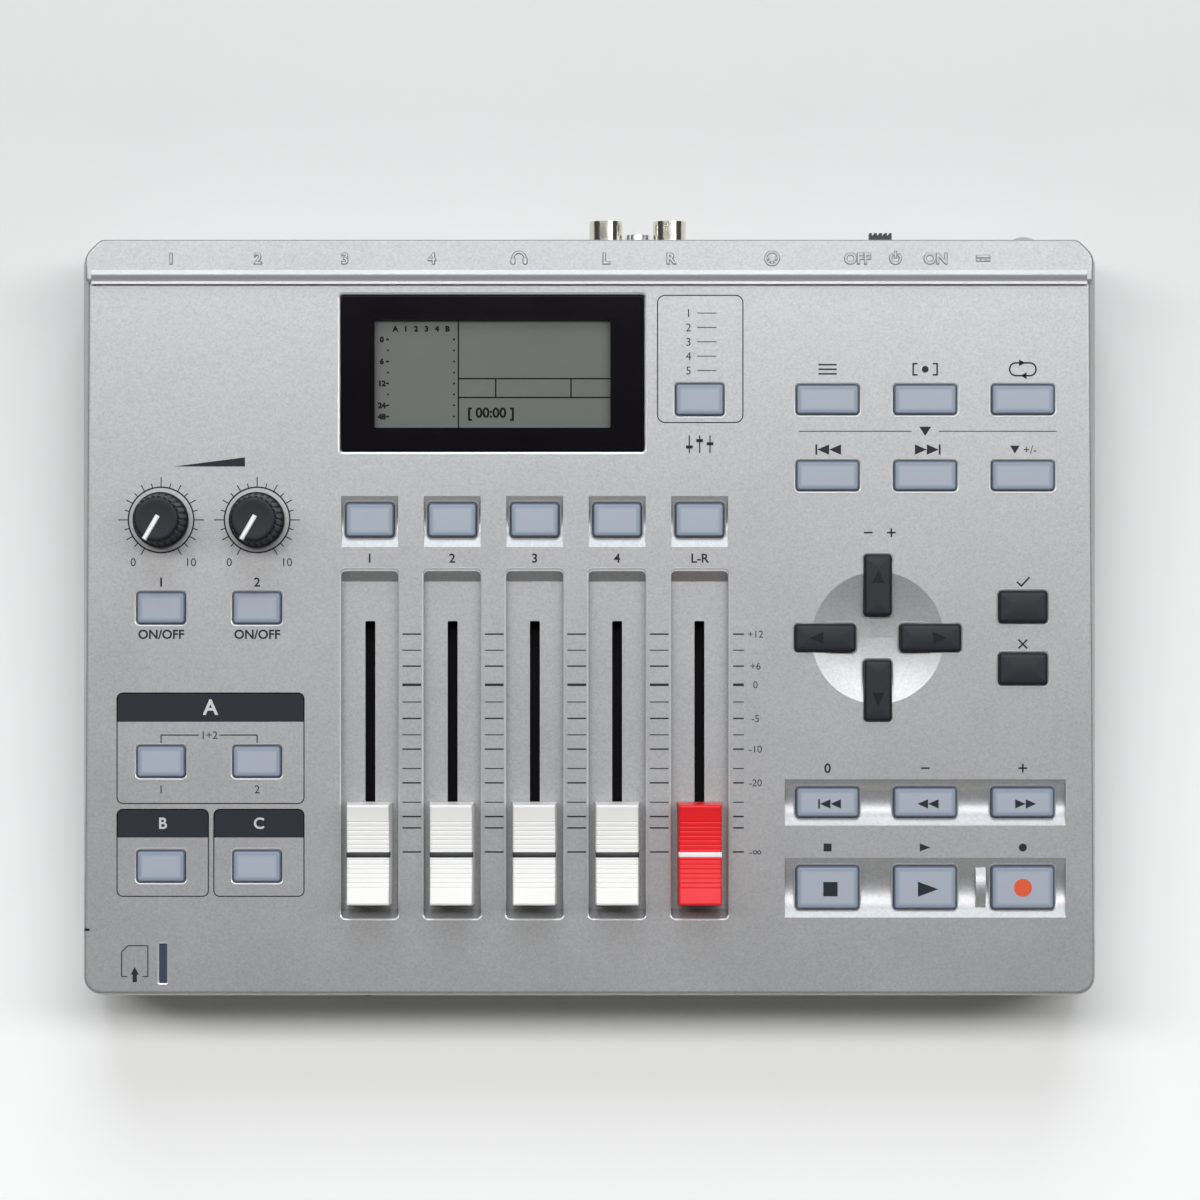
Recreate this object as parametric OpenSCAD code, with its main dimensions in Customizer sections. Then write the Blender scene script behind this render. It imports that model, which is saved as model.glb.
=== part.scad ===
// Digital multitrack recorder: a desktop case with faders, keys, dials, a display and rear sockets.
// Millimetres, +Z up, +Y towards the rear sockets, origin under the middle of the whole footprint.

/* [Case] */
// Width of the case across its parting line
case_w = 256; // [255:1:275]
// Depth of the case from front to rear, without the sockets
case_d = 191; // [190:1:205]
// Height of the control deck above the desk
deck_z = 38; // [38:0.5:43]
// Height of the parting line between the case halves
parting_z = 28; // [27.5:0.5:29]
// Plan radius of the rear corners of the case
corner_r = 6.5; // [5.5:0.5:9]
// Plan radius of the front corners of the case
front_r = 5.5; // [5:0.5:7]
// Wall thickness at the parting line
wall = 3.4; // [3:0.1:3.6]
// Thickness of the case floor
floor_t = 3; // [2.8:0.1:3.4]
// Thickness of the deck
deck_t = 2.5; // [2.2:0.1:2.8]
// How far the sides of the upper half lean in at the rear
side_lean = 2.2; // [1.6:0.1:2.4]
// How far the upper half leans in at its front edge
front_lean = 1.1; // [0.8:0.1:2]
// How far the ends of the rear strip lean in
strip_lean = 1.6; // [1.2:0.1:1.8]
// How far the rear strip leans in at its rear edge
rear_lean = 0.6; // [0.4:0.1:1.1]
// Rounding of the deck edge
edge_round = 0.9; // [0.8:0.1:1.3]
// Depth of the raised rear strip
strip_d = 11.3; // [10.6:0.1:11.6]
// Rise of the rear strip above the deck
strip_rise = 1.7; // [1:0.1:2.2]

/* [Feet] */
// Height of the rubber feet below the case
foot_h = 3; // [2.5:0.1:3.5]
// Radius of the rubber feet
foot_r = 6; // [5:0.5:6.5]

/* [Columns] */
// Middle of the left pair of columns, from the left side of the case
left_inset = 32.6; // [31.5:0.1:33.5]
// Pitch of the left pair of columns
left_pitch = 24.1; // [22:0.1:25]
// Column of the middle fader
fader_mid = -13.7; // [-14.5:0.1:-13]
// Pitch of the faders
fader_pitch = 20.7; // [20:0.1:21]
// Middle column of the right key grid, from the right side of the case
right_inset = 43.7; // [43.4:0.1:44.2]
// Pitch of the right key grid
right_pitch = 24.5; // [23.5:0.1:24.8]

/* [Rows, measured from the rear edge] */
// Display window
row_display = 34; // [33.6:0.1:35]
// Upper row of wide keys, and the key beside the display
row_upper = 40.6; // [39:0.1:43]
// Lower row of wide keys
row_lower = 59.7; // [57:0.1:62]
// Dials and track keys
row_dial = 70.8; // [69.5:0.1:72]
// Input keys
row_input = 92.9; // [90:0.1:96]

/* [Rows, measured from the front edge] */
// Upper pair of left keys
front_left_1 = 59.6; // [53:0.1:65]
// Lower pair of left keys
front_left_2 = 33.3; // [31:0.1:39]
// Upper transport row
front_run_1 = 49.3; // [48.5:0.1:53]
// Lower transport row
front_run_2 = 27.9; // [26:0.1:29]
// Marker line of the faders at rest
front_fader = 36.6; // [35.5:0.1:37.5]

/* [Keys] */
// Width of a small key opening
small_w = 12.5; // [11:0.1:13.5]
// Depth of a small key opening
small_d = 8.3; // [7.4:0.1:9]
// Width of a wide key opening
wide_w = 16.1; // [14.5:0.1:16.8]
// Depth of a wide key opening
wide_d = 7.8; // [7:0.1:8.4]
// Depth of a lower transport key opening
tall_d = 11.1; // [10:0.1:11.6]
// Length of a cursor key opening
cursor_l = 15.6; // [14.5:0.1:16]
// Breadth of a cursor key opening
cursor_b = 7.2; // [6.6:0.1:7.6]
// Distance of a cursor key from the middle of the dish
cursor_out = 13.2; // [13:0.1:13.6]
// Clearance round each key
key_gap = 0.35; // [0.3:0.01:0.4]
// Travel of each key
key_travel = 0.5; // [0.3:0.05:0.55]
// Rise of the lit keys above the deck
lit_rise = 0.9; // [0.6:0.1:1.4]
// Rise of the track and transport keys above the deck
run_rise = 0.3; // [0.1:0.1:0.6]
// Rise of the black keys above the deck
black_rise = 1.8; // [1.4:0.1:2.4]
// Depth of the scoops round the track and transport keys
scoop_h = 1.8; // [1.4:0.1:2]
// Radius of the cursor dish
dish_r = 16.6; // [15.5:0.1:17]
// Depth of the cursor dish
dish_h = 1.5; // [1:0.1:1.7]
// Crown radius of the rib that guards the last transport key
rib_r = 13; // [10:0.5:16]

/* [Faders] */
// Distance from the track keys to the marker line of a raised fader
fader_head = 28.9; // [28.6:0.1:33]
// Width of a fader cap
cap_w = 11.2; // [10:0.1:11.8]
// Length of a fader cap
cap_l = 25.6; // [22:0.1:26]
// Height of a fader cap
cap_h = 11.4; // [9:0.1:13]
// Width of a fader pocket
pocket_w = 14.3; // [13.8:0.1:14.8]
// Length of a fader pocket beyond each end of the cap's travel
pocket_end = 3.65; // [3.4:0.05:4]
// Depth of a fader pocket
pocket_h = 3; // [2.4:0.1:3.1]
// Width of the slot in a fader pocket
slot_w = 2.5; // [2.3:0.1:3]
// Plan radius of the pocket corners
pocket_r = 1.2; // [0.8:0.1:1.6]

/* [Dials] */
// Radius of a dial at its foot
dial_r = 7; // [6:0.1:7.6]
// Height of a dial
dial_h = 13; // [11:0.1:14]
// Radius of a dial shaft
shaft_r = 3; // [2.5:0.1:3.1]
// Number of flutes round a dial
flutes = 24; // [16:1:28]
// Radius of a flute
flute_r = 0.55; // [0.4:0.05:0.6]
// Width of the potentiometer under a dial
pot_w = 12; // [11:0.1:13]

/* [Display] */
// Width of the display window
window_w = 76.5; // [75:0.1:77]
// Depth of the display window
window_d = 39.5; // [38.5:0.1:39.8]
// Width of the part of the display that shows
view_w = 59.2; // [56:0.1:61]
// Depth of the part of the display that shows
view_d = 27.3; // [25:0.1:28.5]
// Shift of the display from the middle of the case
display_x = -24.3; // [-25:0.1:-23.8]
// Frame of the display module round the part that shows
lcd_rim = 4.75; // [4.5:0.05:5]

/* [Sockets] */
// First phone jack, from the left end of the rear panel
jack_inset = 13.2; // [12.5:0.1:14]
// Column of the last phone jack
phone_last = -17.6; // [-19:0.1:-17]
// Bore radius of a phone jack
phone_r = 3.25; // [3.2:0.01:3.3]
// Radius of the collar of a phone jack in the rear panel
collar_r = 4.5; // [4.3:0.1:4.8]
// Column midway between the phono sockets
phono_x = 12.3; // [12:0.1:13]
// Pitch of the phono sockets
phono_pitch = 16.2; // [15.8:0.1:17]
// Outer radius of a phono barrel
phono_r = 4.2; // [4.1:0.05:4.3]
// Reach of the phono barrels behind the case
socket_reach = 5.6; // [5.4:0.1:9]
// Length of a phono barrel inside its block
barrel_l = 8; // [7:0.1:9]
// Width of the phono block on each side of a socket
phono_side = 6; // [5.5:0.1:6.2]
// Cord hook, from the right end of the rear panel
hook_inset = 7; // [6:0.1:8]
// Width of the cord hook
hook_w = 9; // [8.4:0.1:9.6]
// Reach of the cord hook behind the case
hook_reach = 1.9; // [1.6:0.1:2.4]
// Thickness of the cord hook
hook_t = 0.9; // [0.8:0.05:1]
// Power inlet, from the cord hook
inlet_gap = 14.3; // [13.5:0.1:15]
// Power slider at rest, from the power inlet
power_gap = 22.5; // [21.5:0.1:23.5]
// Travel of the power slider
power_travel = 5; // [4:0.1:5.5]

/* [Bays] */
// Length of the card door along the front
door_l = 74.5; // [73:0.1:75]
// Length of the card door along the left side
wing_d = 17; // [15:0.1:19]
// Middle of the battery bay, from the right side of the case
battery_inset = 52; // [51.5:0.1:52.5]
// Width of the battery bay
battery_w = 60; // [59:0.1:60.5]
// Depth of the battery bay
battery_d = 54; // [53:0.1:58]

/* [Hidden] */
$fn = 48;
front_y = -(case_d + socket_reach) / 2;
rear_y = front_y + case_d;
mid_y = (front_y + rear_y) / 2;
floor_z = foot_h + floor_t;
under_z = deck_z - deck_t;
guide_z = deck_z - 4.5;
strip_z = deck_z + strip_rise;
board_z = deck_z - 11;
board_t = 1.6;
main_z = floor_z + 4.6;
jack_z = main_z + 8;
seat_gap = 0.15;
joint_gap = 0.3;
fit_gap = 0.08;
glue_gap = 0.04;
panel_t = 2;
side_x = case_w / 2;
rear_half = side_x - corner_r - 3.5;
row_left_1 = case_d - front_left_1;
row_left_2 = case_d - front_left_2;
row_run_1 = case_d - front_run_1;
row_run_2 = case_d - front_run_2;
row_cursor = (row_lower + row_run_1) / 2 - 0.3;
row_fader = case_d - front_fader;
fader_travel = row_fader - row_dial - fader_head;
pocket_l = fader_travel + cap_l + 2 * pocket_end;
fader_y = rear_y - row_fader;
slot_y = fader_y + fader_travel / 2;
slot_l = fader_travel + 7;
pocket_y = slot_y - 0.4;
pocket_z = deck_z - pocket_h;
cap_z = pocket_z + 1.2;
lever_l = 4;
lever_w = 1.6;
marker_t = 1.4;
lip_h = 1.5;
lip_t = wall / 2 - 0.1;
switch_h = 3.5;
stem_h = 0.7;
flange_t = 1.2;
track_d = small_d + 0.5;
light_w = 2;
light_l = 9.9;
light_y = front_y + wall + 5.5;
light_sink = 0.4;
rear_r = 3;
enter_out = 7.75;
door_z0 = foot_h + 5;
door_z1 = parting_z - 1.5;
door_x = door_l - side_x;
hinge_x = door_x - 2.4;
hinge_y = front_y + 2;
knuckle_r = 2.1;
seam_w = 0.7;
seam_in = 1.9;
pin_r = 0.7;
cover_t = 1.8;
cover_rim = 2;
bay_wall = 1.6;
bay_roof = foot_h + 17.6;
battery_x = side_x - battery_inset;
battery_y = front_y + 12 + battery_d / 2;
card_w = 37.5;
card_x = door_x - card_w;
card_d = 34;
card_case_d = 40;
card_case_w = card_w + 6;
card_z = foot_h + 12.5;
card_wall_y = front_y + wing_d + joint_gap;
screw_head_r = 2.8;
screw_head_h = 2.2;
screw_r = 1.45;
screw_l = 14;
screw_end = 5.4;
seat_z = board_z - board_t - 6;
boss_r = 4.2;
board_edge = 4.5;
main_d = 88;
jack_w = 15;
jack_d = 27;
jack_h = 6.2;
phono_d = 15;
midi_w = 20;
midi_d = 17;
midi_h = 8;
midi_r = 6.8;
inlet_w = 10;
inlet_d = 13;
inlet_r = 3.1;
switch_w = 10;
switch_d = 9;
slider_w = 4;
slider_h = 3.2;
knob_w = 5.6;
knob_h = 5.2;

fader_x = [for (i = [0:4]) fader_mid + (i - 2) * fader_pitch];
left_mid = left_inset - side_x;
left_x = [left_mid - left_pitch / 2, left_mid + left_pitch / 2];
light_x = left_x[0] + 0.5;
right_mid = side_x - right_inset;
right_x = [right_mid - right_pitch, right_mid, right_mid + right_pitch];
cursor_x = right_mid - right_pitch / 2 + 0.35;
phone_x = jack_inset - rear_half;
collar_rise = 0.3;
phone_xs = [for (i = [0:4]) phone_x + i * (phone_last - phone_x) / 4];
phono_xs = [phono_x - phono_pitch / 2, phono_x + phono_pitch / 2];
hook_x = rear_half - hook_inset;
inlet_x = hook_x - inlet_gap;
power_x = inlet_x - power_gap;
midi_x = (phono_xs[1] + power_x) / 2 - 1.5;
boss_xs = side_x - 9;
bosses = [
    [-boss_xs, rear_y - row_display - 14],
    [-boss_xs, rear_y - (row_input + row_left_1) / 2],
    [boss_xs, rear_y - row_upper + 14.6],
    [boss_xs, rear_y - (row_run_1 + row_run_2) / 2],
    [power_x - 14.2, rear_y - row_upper + 13.6],
    [door_x + 9.5, front_y + 9],
    [battery_x - battery_w / 2 - 10, front_y + 9]
];

// Each key: name, column, row from the rear edge, width, depth, rise above the deck, black or lit
keys = concat(
    [for (i = [0:3]) [str("track_key_", i + 1), fader_x[i], row_dial, small_w, track_d, run_rise, false]],
    [["main_key", fader_x[4], row_dial, small_w, track_d, run_rise, false]],
    [["parameter_key", fader_x[4], row_upper, small_w, small_d, lit_rise, false]],
    [for (i = [0:1]) [str("input_key_", i + 1), left_x[i], row_input, small_w, small_d, lit_rise, false]],
    [for (i = [0:1]) [str("left_key_", i + 1), left_x[i], row_left_1, small_w, small_d, lit_rise, false]],
    [for (i = [0:1]) [str("left_key_", i + 3), left_x[i], row_left_2, small_w, small_d, lit_rise, false]],
    [for (i = [0:2]) [str("grid_key_", i + 1), right_x[i], row_upper, wide_w, wide_d, lit_rise, false]],
    [for (i = [0:2]) [str("grid_key_", i + 4), right_x[i], row_lower, wide_w, wide_d, lit_rise, false]],
    [["cursor_up", cursor_x, row_cursor - cursor_out, cursor_b, cursor_l, black_rise, true]],
    [["cursor_down", cursor_x, row_cursor + cursor_out, cursor_b, cursor_l, black_rise, true]],
    [["cursor_left", cursor_x - cursor_out, row_cursor, cursor_l, cursor_b, black_rise, true]],
    [["cursor_right", cursor_x + cursor_out, row_cursor, cursor_l, cursor_b, black_rise, true]],
    [["enter_key", right_x[2], row_cursor - enter_out, small_w, small_d, black_rise, true]],
    [["exit_key", right_x[2], row_cursor + enter_out, small_w, small_d, black_rise, true]],
    [["zero_key", right_x[0], row_run_1, wide_w, wide_d, run_rise, false]],
    [["rewind_key", right_x[1], row_run_1, wide_w, wide_d, run_rise, false]],
    [["forward_key", right_x[2], row_run_1, wide_w, wide_d, run_rise, false]],
    [["stop_key", right_x[0], row_run_2, wide_w, tall_d, run_rise, false]],
    [["play_key", right_x[1], row_run_2, wide_w, tall_d, run_rise, false]],
    [["record_key", right_x[2], row_run_2, wide_w, tall_d, run_rise, false]]
);

FADERS = ["fader_1", "fader_2", "fader_3", "fader_4", "fader_main"];
DIALS = ["dial_1", "dial_2"];

// Points of an arc
function arc(cx, cy, r, a0, a1, n) =
    [for (i = [0:n]) [cx + r * cos(a0 + (a1 - a0) * i / n), cy + r * sin(a0 + (a1 - a0) * i / n)]];

// Outline of a rectangle with rounded corners
function round_rect(w, d, r) = concat(
    arc(w / 2 - r, d / 2 - r, r, 0, 90, 4),
    arc(r - w / 2, d / 2 - r, r, 90, 180, 4),
    arc(r - w / 2, r - d / 2, r, 180, 270, 4),
    arc(w / 2 - r, r - d / 2, r, 270, 360, 4)
);

// Radius of the circle through a chord with a given rise
function bow(chord, rise) = (chord * chord / 4 + rise * rise) / (2 * rise);

// Section of the upper half at a corner, from its axis out
function upper_section(r, z0, z1, lean, edge) =
    concat([[0, z0], [r, z0]], arc(r - lean - edge, z1 - edge, edge, 0, 90, 4), [[0, z1]]);

// Section of the lower half at a corner, from its axis out
function lower_section(r, z0, z1, lean, edge) =
    concat([[0, z0]], arc(r - lean - edge, z0 + edge, edge, -90, 0, 4), [[r, z1], [0, z1]]);

// Upright prism with rounded corners between two heights
module prism(w, d, r, z0, z1) {
    translate([0, 0, z0]) linear_extrude(z1 - z0) polygon(round_rect(w, d, r));
}

// Box given by its two opposite corners
module span(a, b) {
    translate(a) cube(b - a);
}

// Cylinder lying along Y between two depths
module along_y(x, z, r, y0, y1) {
    translate([x, y0, z]) rotate([-90, 0, 0]) cylinder(r = r, h = y1 - y0);
}

// Rounded body swept round the case outline, with its own sections at the rear and the front corners
module case_body(rear_section, front_section) {
    hull()
        for (sx = [-1, 1]) {
            translate([sx * (side_x - corner_r), rear_y - corner_r, 0])
                rotate_extrude() polygon(rear_section);
            translate([sx * (side_x - front_r), front_y + front_r, 0])
                rotate_extrude() polygon(front_section);
        }
}

// Notch in the rim of both halves at the left end of the card door
module seam_notch() {
    span([-side_x - 1, front_y + wing_d, door_z1], [seam_in - side_x, front_y + wing_d + seam_w, deck_z + 1]);
}

module upper_body() {
    case_body(upper_section(corner_r, parting_z, deck_z, side_lean, edge_round),
              upper_section(front_r, parting_z, deck_z, front_lean, edge_round));
    hull()
        for (sx = [-1, 1]) {
            translate([sx * (side_x - corner_r), rear_y - corner_r, 0])
                rotate_extrude() polygon(upper_section(corner_r, parting_z, strip_z, strip_lean, 0.7));
            translate([sx * (side_x - corner_r), rear_y - rear_r, 0])
                rotate_extrude() polygon(upper_section(rear_r, parting_z, strip_z, rear_lean, 0.6));
            translate([sx * (side_x - 2.6), rear_y - strip_d + 1, 0])
                rotate_extrude() polygon(upper_section(2.6, parting_z, strip_z, strip_lean, 0.9));
        }
}

module lower_body() {
    case_body(lower_section(corner_r, foot_h, parting_z, 0.8, 2.5),
              lower_section(front_r, foot_h, parting_z, 0.8, 2.5));
}

// Cylinder scoop across X, cut from the deck
module scoop(x, row, w, d) {
    r = bow(d, scoop_h);
    translate([x - w / 2, rear_y - row, deck_z + r - scoop_h])
        rotate([0, 90, 0]) cylinder(r = r, h = w, $fn = 96);
}

// Pocket with sloped ends, in which a fader cap runs
module pocket(x) {
    half = pocket_l / 2;
    intersection() {
        translate([x, pocket_y, 0]) prism(pocket_w, pocket_l, pocket_r, pocket_z - 1, deck_z + 2);
        translate([x + pocket_w, pocket_y, 0])
            rotate([90, 0, -90]) linear_extrude(2 * pocket_w)
                polygon([
                    [-half + 2.6, pocket_z],
                    [half - 2.6, pocket_z],
                    [half, deck_z + 0.01],
                    [half, deck_z + 1],
                    [-half, deck_z + 1],
                    [-half, deck_z + 0.01]
                ]);
    }
}

// Thicker deck under the pockets, scoops, dish and keys, and the posts that carry the control board
module deck_under() {
    for (x = fader_x) {
        span([x - pocket_w / 2 - 1.2, pocket_y - pocket_l / 2 - 1, guide_z],
             [x + pocket_w / 2 + 1.2, pocket_y + pocket_l / 2 + 1, under_z + 0.5]);
        span([x - pocket_w / 2 - 1.2, rear_y - row_dial - 7.6, guide_z],
             [x + pocket_w / 2 + 1.2, rear_y - row_dial + 7.6, under_z + 0.5]);
    }
    for (r = [[row_run_1, 11.6], [row_run_2, 15]])
        span([right_mid - 36.5, rear_y - r[0] - r[1] / 2 - 1.2, guide_z],
             [right_mid + 36.5, rear_y - r[0] + r[1] / 2 + 1.2, under_z + 0.5]);
    translate([cursor_x, rear_y - row_cursor, guide_z])
        cylinder(r = dish_r + 1.2, h = under_z - guide_z + 0.5);
    for (k = keys)
        translate([k[1], rear_y - k[2], 0]) prism(k[3] + 2.4, k[4] + 2.4, 1.6, guide_z, under_z + 0.5);
    for (b = bosses)
        translate([b[0], b[1], board_z]) cylinder(r = boss_r - 0.4, h = under_z - board_z + 0.5);
}

// Everything cut through the deck
module deck_cuts() {
    for (k = keys)
        translate([k[1], rear_y - k[2], 0]) prism(k[3], k[4], 1, guide_z - 1, strip_z + 1);
    for (x = fader_x) {
        pocket(x);
        scoop(x, row_dial + 0.4, pocket_w, 12.8);
        translate([x, slot_y, 0]) prism(slot_w, slot_l, 0.3, guide_z - 1, deck_z);
    }
    scoop(right_mid, row_run_1, 70.5, 11.6);
    difference() {
        scoop(right_mid, row_run_2, 70.5, 15);
        translate([right_mid + right_pitch * 0.57, rear_y - row_run_2, deck_z - rib_r])
            rotate([0, 90, 0]) cylinder(r = rib_r, h = 2.5, center = true, $fn = 96);
    }
    translate([cursor_x, rear_y - row_cursor, deck_z + bow(2 * dish_r, dish_h) - dish_h])
        sphere(r = bow(2 * dish_r, dish_h), $fn = 128);
    for (x = left_x)
        translate([x, rear_y - row_dial, under_z - 1]) cylinder(r = shaft_r + 0.5, h = deck_t + 2);
    translate([display_x, rear_y - row_display, 0]) {
        prism(window_w, window_d, 0.8, deck_z - 1.8, deck_z + 1);
        prism(view_w + 4, view_d + 4, 0.8, under_z - 1, deck_z);
        hull() {
            prism(window_w, window_d, 0.8, deck_z - 0.5, deck_z - 0.4);
            prism(window_w + 1.2, window_d + 1.2, 1.4, deck_z + 0.1, deck_z + 0.2);
        }
    }
    translate([light_x, light_y, 0]) prism(light_w, light_l, 0.25, under_z - 1, deck_z + 1);
    seam_notch();
    for (b = bosses)
        translate([b[0], b[1], board_z - 1]) cylinder(r = screw_r + 0.05, h = screw_l - screw_end);
}

module top_cover() {
    color("silver")
        difference() {
            union() {
                difference() {
                    upper_body();
                    translate([0, mid_y, 0]) {
                        prism(case_w - 2 * wall, case_d - 2 * wall, 2.5, parting_z - 1, under_z);
                        prism(case_w - wall, case_d - wall, 4, parting_z - 1, parting_z + lip_h + 0.2);
                    }
                }
                deck_under();
            }
            deck_cuts();
        }
}

// Space taken from the front left corner of the lower half by the card door, grown by a gap
module door_zone(gap) {
    span([-side_x - 1, front_y - 1, door_z0 - gap],
         [hinge_x, front_y + wing_d + gap, door_z1 + gap]);
    translate([hinge_x, hinge_y, door_z0 - gap])
        cylinder(r = knuckle_r + gap, h = door_z1 - door_z0 + 2 * gap);
    if (gap > 0)
        span([hinge_x - 1, front_y - 1, door_z0 - gap],
             [hinge_x + knuckle_r + gap, hinge_y, door_z1 + gap]);
}

// Walls and ribs inside the lower half
module lower_inside() {
    wall_z = board_z - board_t - 0.4;
    span([2 - side_x, card_wall_y, floor_z - 0.5], [door_x + 3.5, card_wall_y + 2, wall_z]);
    span([door_x + 1.5, front_y + 2, floor_z - 0.5], [door_x + 3.5, card_wall_y + 1, wall_z]);
    for (x = [card_x - card_w / 3, card_x + card_w / 3])
        span([x - 1, card_wall_y + 1, floor_z - 0.5], [x + 1, card_wall_y + card_d + 2, card_z - 1.9]);
    translate([hinge_x, hinge_y, floor_z - 0.5])
        cylinder(r = 2.3, h = door_z0 - joint_gap - floor_z + 0.5);
    translate([hinge_x, hinge_y, door_z1 + joint_gap])
        cylinder(r = 2.3, h = parting_z - door_z1 - joint_gap);
    translate([battery_x, battery_y, 0])
        prism(battery_w + 2 * bay_wall, battery_d + 2 * bay_wall, 2, floor_z - 0.5, bay_roof + bay_wall);
    for (b = bosses)
        translate([b[0], b[1], floor_z - 0.5])
            cylinder(r = boss_r, h = board_z - board_t - floor_z + 0.5);
    for (i = [-3, -1, 1, 3])
        translate([i * boss_xs / 4, rear_y - main_d * 0.68, floor_z - 0.5])
            cylinder(r = 3, h = main_z - board_t - floor_z + 0.5);
}

module bottom_case() {
    color("dimgray")
        difference() {
            union() {
                difference() {
                    union() {
                        lower_body();
                        translate([0, mid_y, 0])
                            prism(case_w - 2 * wall + 2 * lip_t, case_d - 2 * wall + 2 * lip_t, 4,
                                  parting_z - 1, parting_z + lip_h);
                    }
                    translate([0, mid_y, 0])
                        prism(case_w - 2 * wall, case_d - 2 * wall, 2.5, floor_z, parting_z + lip_h + 1);
                    door_zone(joint_gap);
                    span([-rear_half - 0.1, rear_y - wall - 1, floor_z],
                         [rear_half + 0.1, rear_y + 1, strip_z]);
                }
                lower_inside();
            }
            span([card_x - card_w / 2 - 1, card_wall_y - 1, card_z - 1.5],
                 [card_x + card_w / 2 + 1, card_wall_y + 3, card_z + 1.5]);
            for (z = [floor_z + 0.5, door_z1 - 0.2])
                translate([hinge_x, hinge_y, z])
                    cylinder(r = pin_r + fit_gap, h = door_z0 - floor_z - 0.5);
            translate([battery_x, battery_y, 0]) {
                prism(battery_w, battery_d, 1, foot_h - 1, bay_roof);
                prism(battery_w + 2 * cover_rim, battery_d + 2 * cover_rim, 1.5,
                      foot_h - 1, foot_h + cover_t);
            }
            for (b = bosses) {
                translate([b[0], b[1], foot_h - 1])
                    cylinder(r = screw_head_r + 0.3, h = seat_z - foot_h + 1);
                translate([b[0], b[1], foot_h - 1])
                    cylinder(r = screw_r + 0.25, h = board_z - foot_h);
            }
            for (x = [-1, 1], y = [front_y + 2 * foot_r, rear_y - 2 * foot_r])
                translate([x * (side_x - 2 * foot_r), y, foot_h - 1]) cylinder(r = foot_r + 0.1, h = 1.4);
            seam_notch();
        }
}

// Bowed loop on the rear panel, under which a cord is passed
module hook() {
    r = bow(hook_w, hook_reach);
    translate([hook_x, rear_y + hook_reach - r, jack_z - 8])
        difference() {
            intersection() {
                cylinder(r = r, h = 6);
                span([-hook_w / 2, r - hook_reach - 0.5, -1], [hook_w / 2, r + 1, 7]);
            }
            intersection() {
                translate([0, 0, -1]) cylinder(r = r - hook_t, h = 8);
                span([-hook_w / 2, r - hook_reach, -2], [hook_w / 2, r, 8]);
            }
        }
}

module rear_panel() {
    color("dimgray")
        difference() {
            union() {
                span([-rear_half, rear_y - panel_t, floor_z], [rear_half, rear_y, parting_z]);
                hook();
            }
            for (x = phone_xs)
                along_y(x, jack_z, collar_r + 0.2, rear_y - panel_t - 1, rear_y + 1);
            for (x = phono_xs)
                along_y(x, jack_z, phono_r + 0.2, rear_y - panel_t - 1, rear_y + 1);
            along_y(phono_x, jack_z, screw_r + 0.2, rear_y - panel_t - 1, rear_y + 1);
            along_y(midi_x, jack_z, midi_r + 0.7, rear_y - panel_t - 1, rear_y + 1);
            along_y(inlet_x, jack_z, inlet_r + 1.3, rear_y - panel_t - 1, rear_y + 1);
            span([power_x - slider_w / 2 - 0.4, rear_y - panel_t - 1, jack_z - slider_h / 2 - 0.4],
                 [power_x + power_travel + slider_w / 2 + 0.4, rear_y + 1, jack_z + slider_h / 2 + 0.4]);
        }
}

module display_window() {
    color([0.05, 0.05, 0.06])
        translate([display_x, rear_y - row_display, 0])
            prism(window_w - 0.3, window_d - 0.3, 0.7, deck_z - 1.8, deck_z - 0.25);
}

module lcd_module() {
    color("darkseagreen")
        translate([display_x, rear_y - row_display, 0]) {
            difference() {
                prism(view_w + 2 * lcd_rim, view_d + 2 * lcd_rim, 1, board_z, under_z - 0.1);
                prism(view_w + 3, view_d + 3, 0.5, under_z - 1.6, under_z + 1);
            }
            prism(view_w + 3 - 2 * glue_gap, view_d + 3 - 2 * glue_gap, 0.5,
                  under_z - 1.6 + glue_gap, under_z - 0.4);
        }
}

module panel_board() {
    color("seagreen")
        difference() {
            span([board_edge - side_x, hinge_y + knuckle_r + 1.2, board_z - board_t],
                 [side_x - board_edge, rear_y - 3 * board_edge, board_z]);
            for (b = bosses)
                translate([b[0], b[1], board_z - 3]) cylinder(r = screw_r + 0.35, h = 4);
            span([midi_x - midi_w / 2 - 1, rear_y - midi_d - panel_t - 3, board_z - 3],
                 [midi_x + midi_w / 2 + 1, rear_y, board_z + 1]);
        }
}

module main_board() {
    color("seagreen")
        difference() {
            span([-boss_xs - 3, rear_y - main_d, main_z - board_t],
                 [boss_xs + 3, rear_y - wall - 0.4, main_z]);
            for (b = bosses)
                translate([b[0], b[1], main_z - 3]) cylinder(r = boss_r + 0.4, h = 4);
        }
}

module tact_switches() {
    color("dimgray")
        for (k = keys)
            translate([k[1], rear_y - k[2], board_z]) {
                translate([-3, -3, 0]) cube([6, 6, switch_h]);
                translate([0, 0, switch_h]) cylinder(r = 1.7, h = stem_h);
            }
}

module fader_bodies() {
    color("lightsteelblue")
        for (x = fader_x)
            translate([x, slot_y, 0])
                difference() {
                    prism(9, slot_l + 12, 0.6, board_z, guide_z - 0.3);
                    prism(7.4, slot_l + 9, 0.4, board_z + 0.8, guide_z - 1.1);
                    prism(3, slot_l + 1, 0.6, guide_z - 2, guide_z);
                }
}

module dial_pots() {
    color("lightsteelblue")
        for (x = left_x)
            translate([x, rear_y - row_dial, 0])
                difference() {
                    union() {
                        prism(pot_w, pot_w, 1, board_z, guide_z - 1);
                        translate([0, 0, guide_z - 1.5]) cylinder(r = shaft_r + 1.6, h = 3);
                    }
                    translate([0, 0, board_z + 1]) cylinder(r = shaft_r + fit_gap, h = deck_z - board_z);
                }
}

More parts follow.
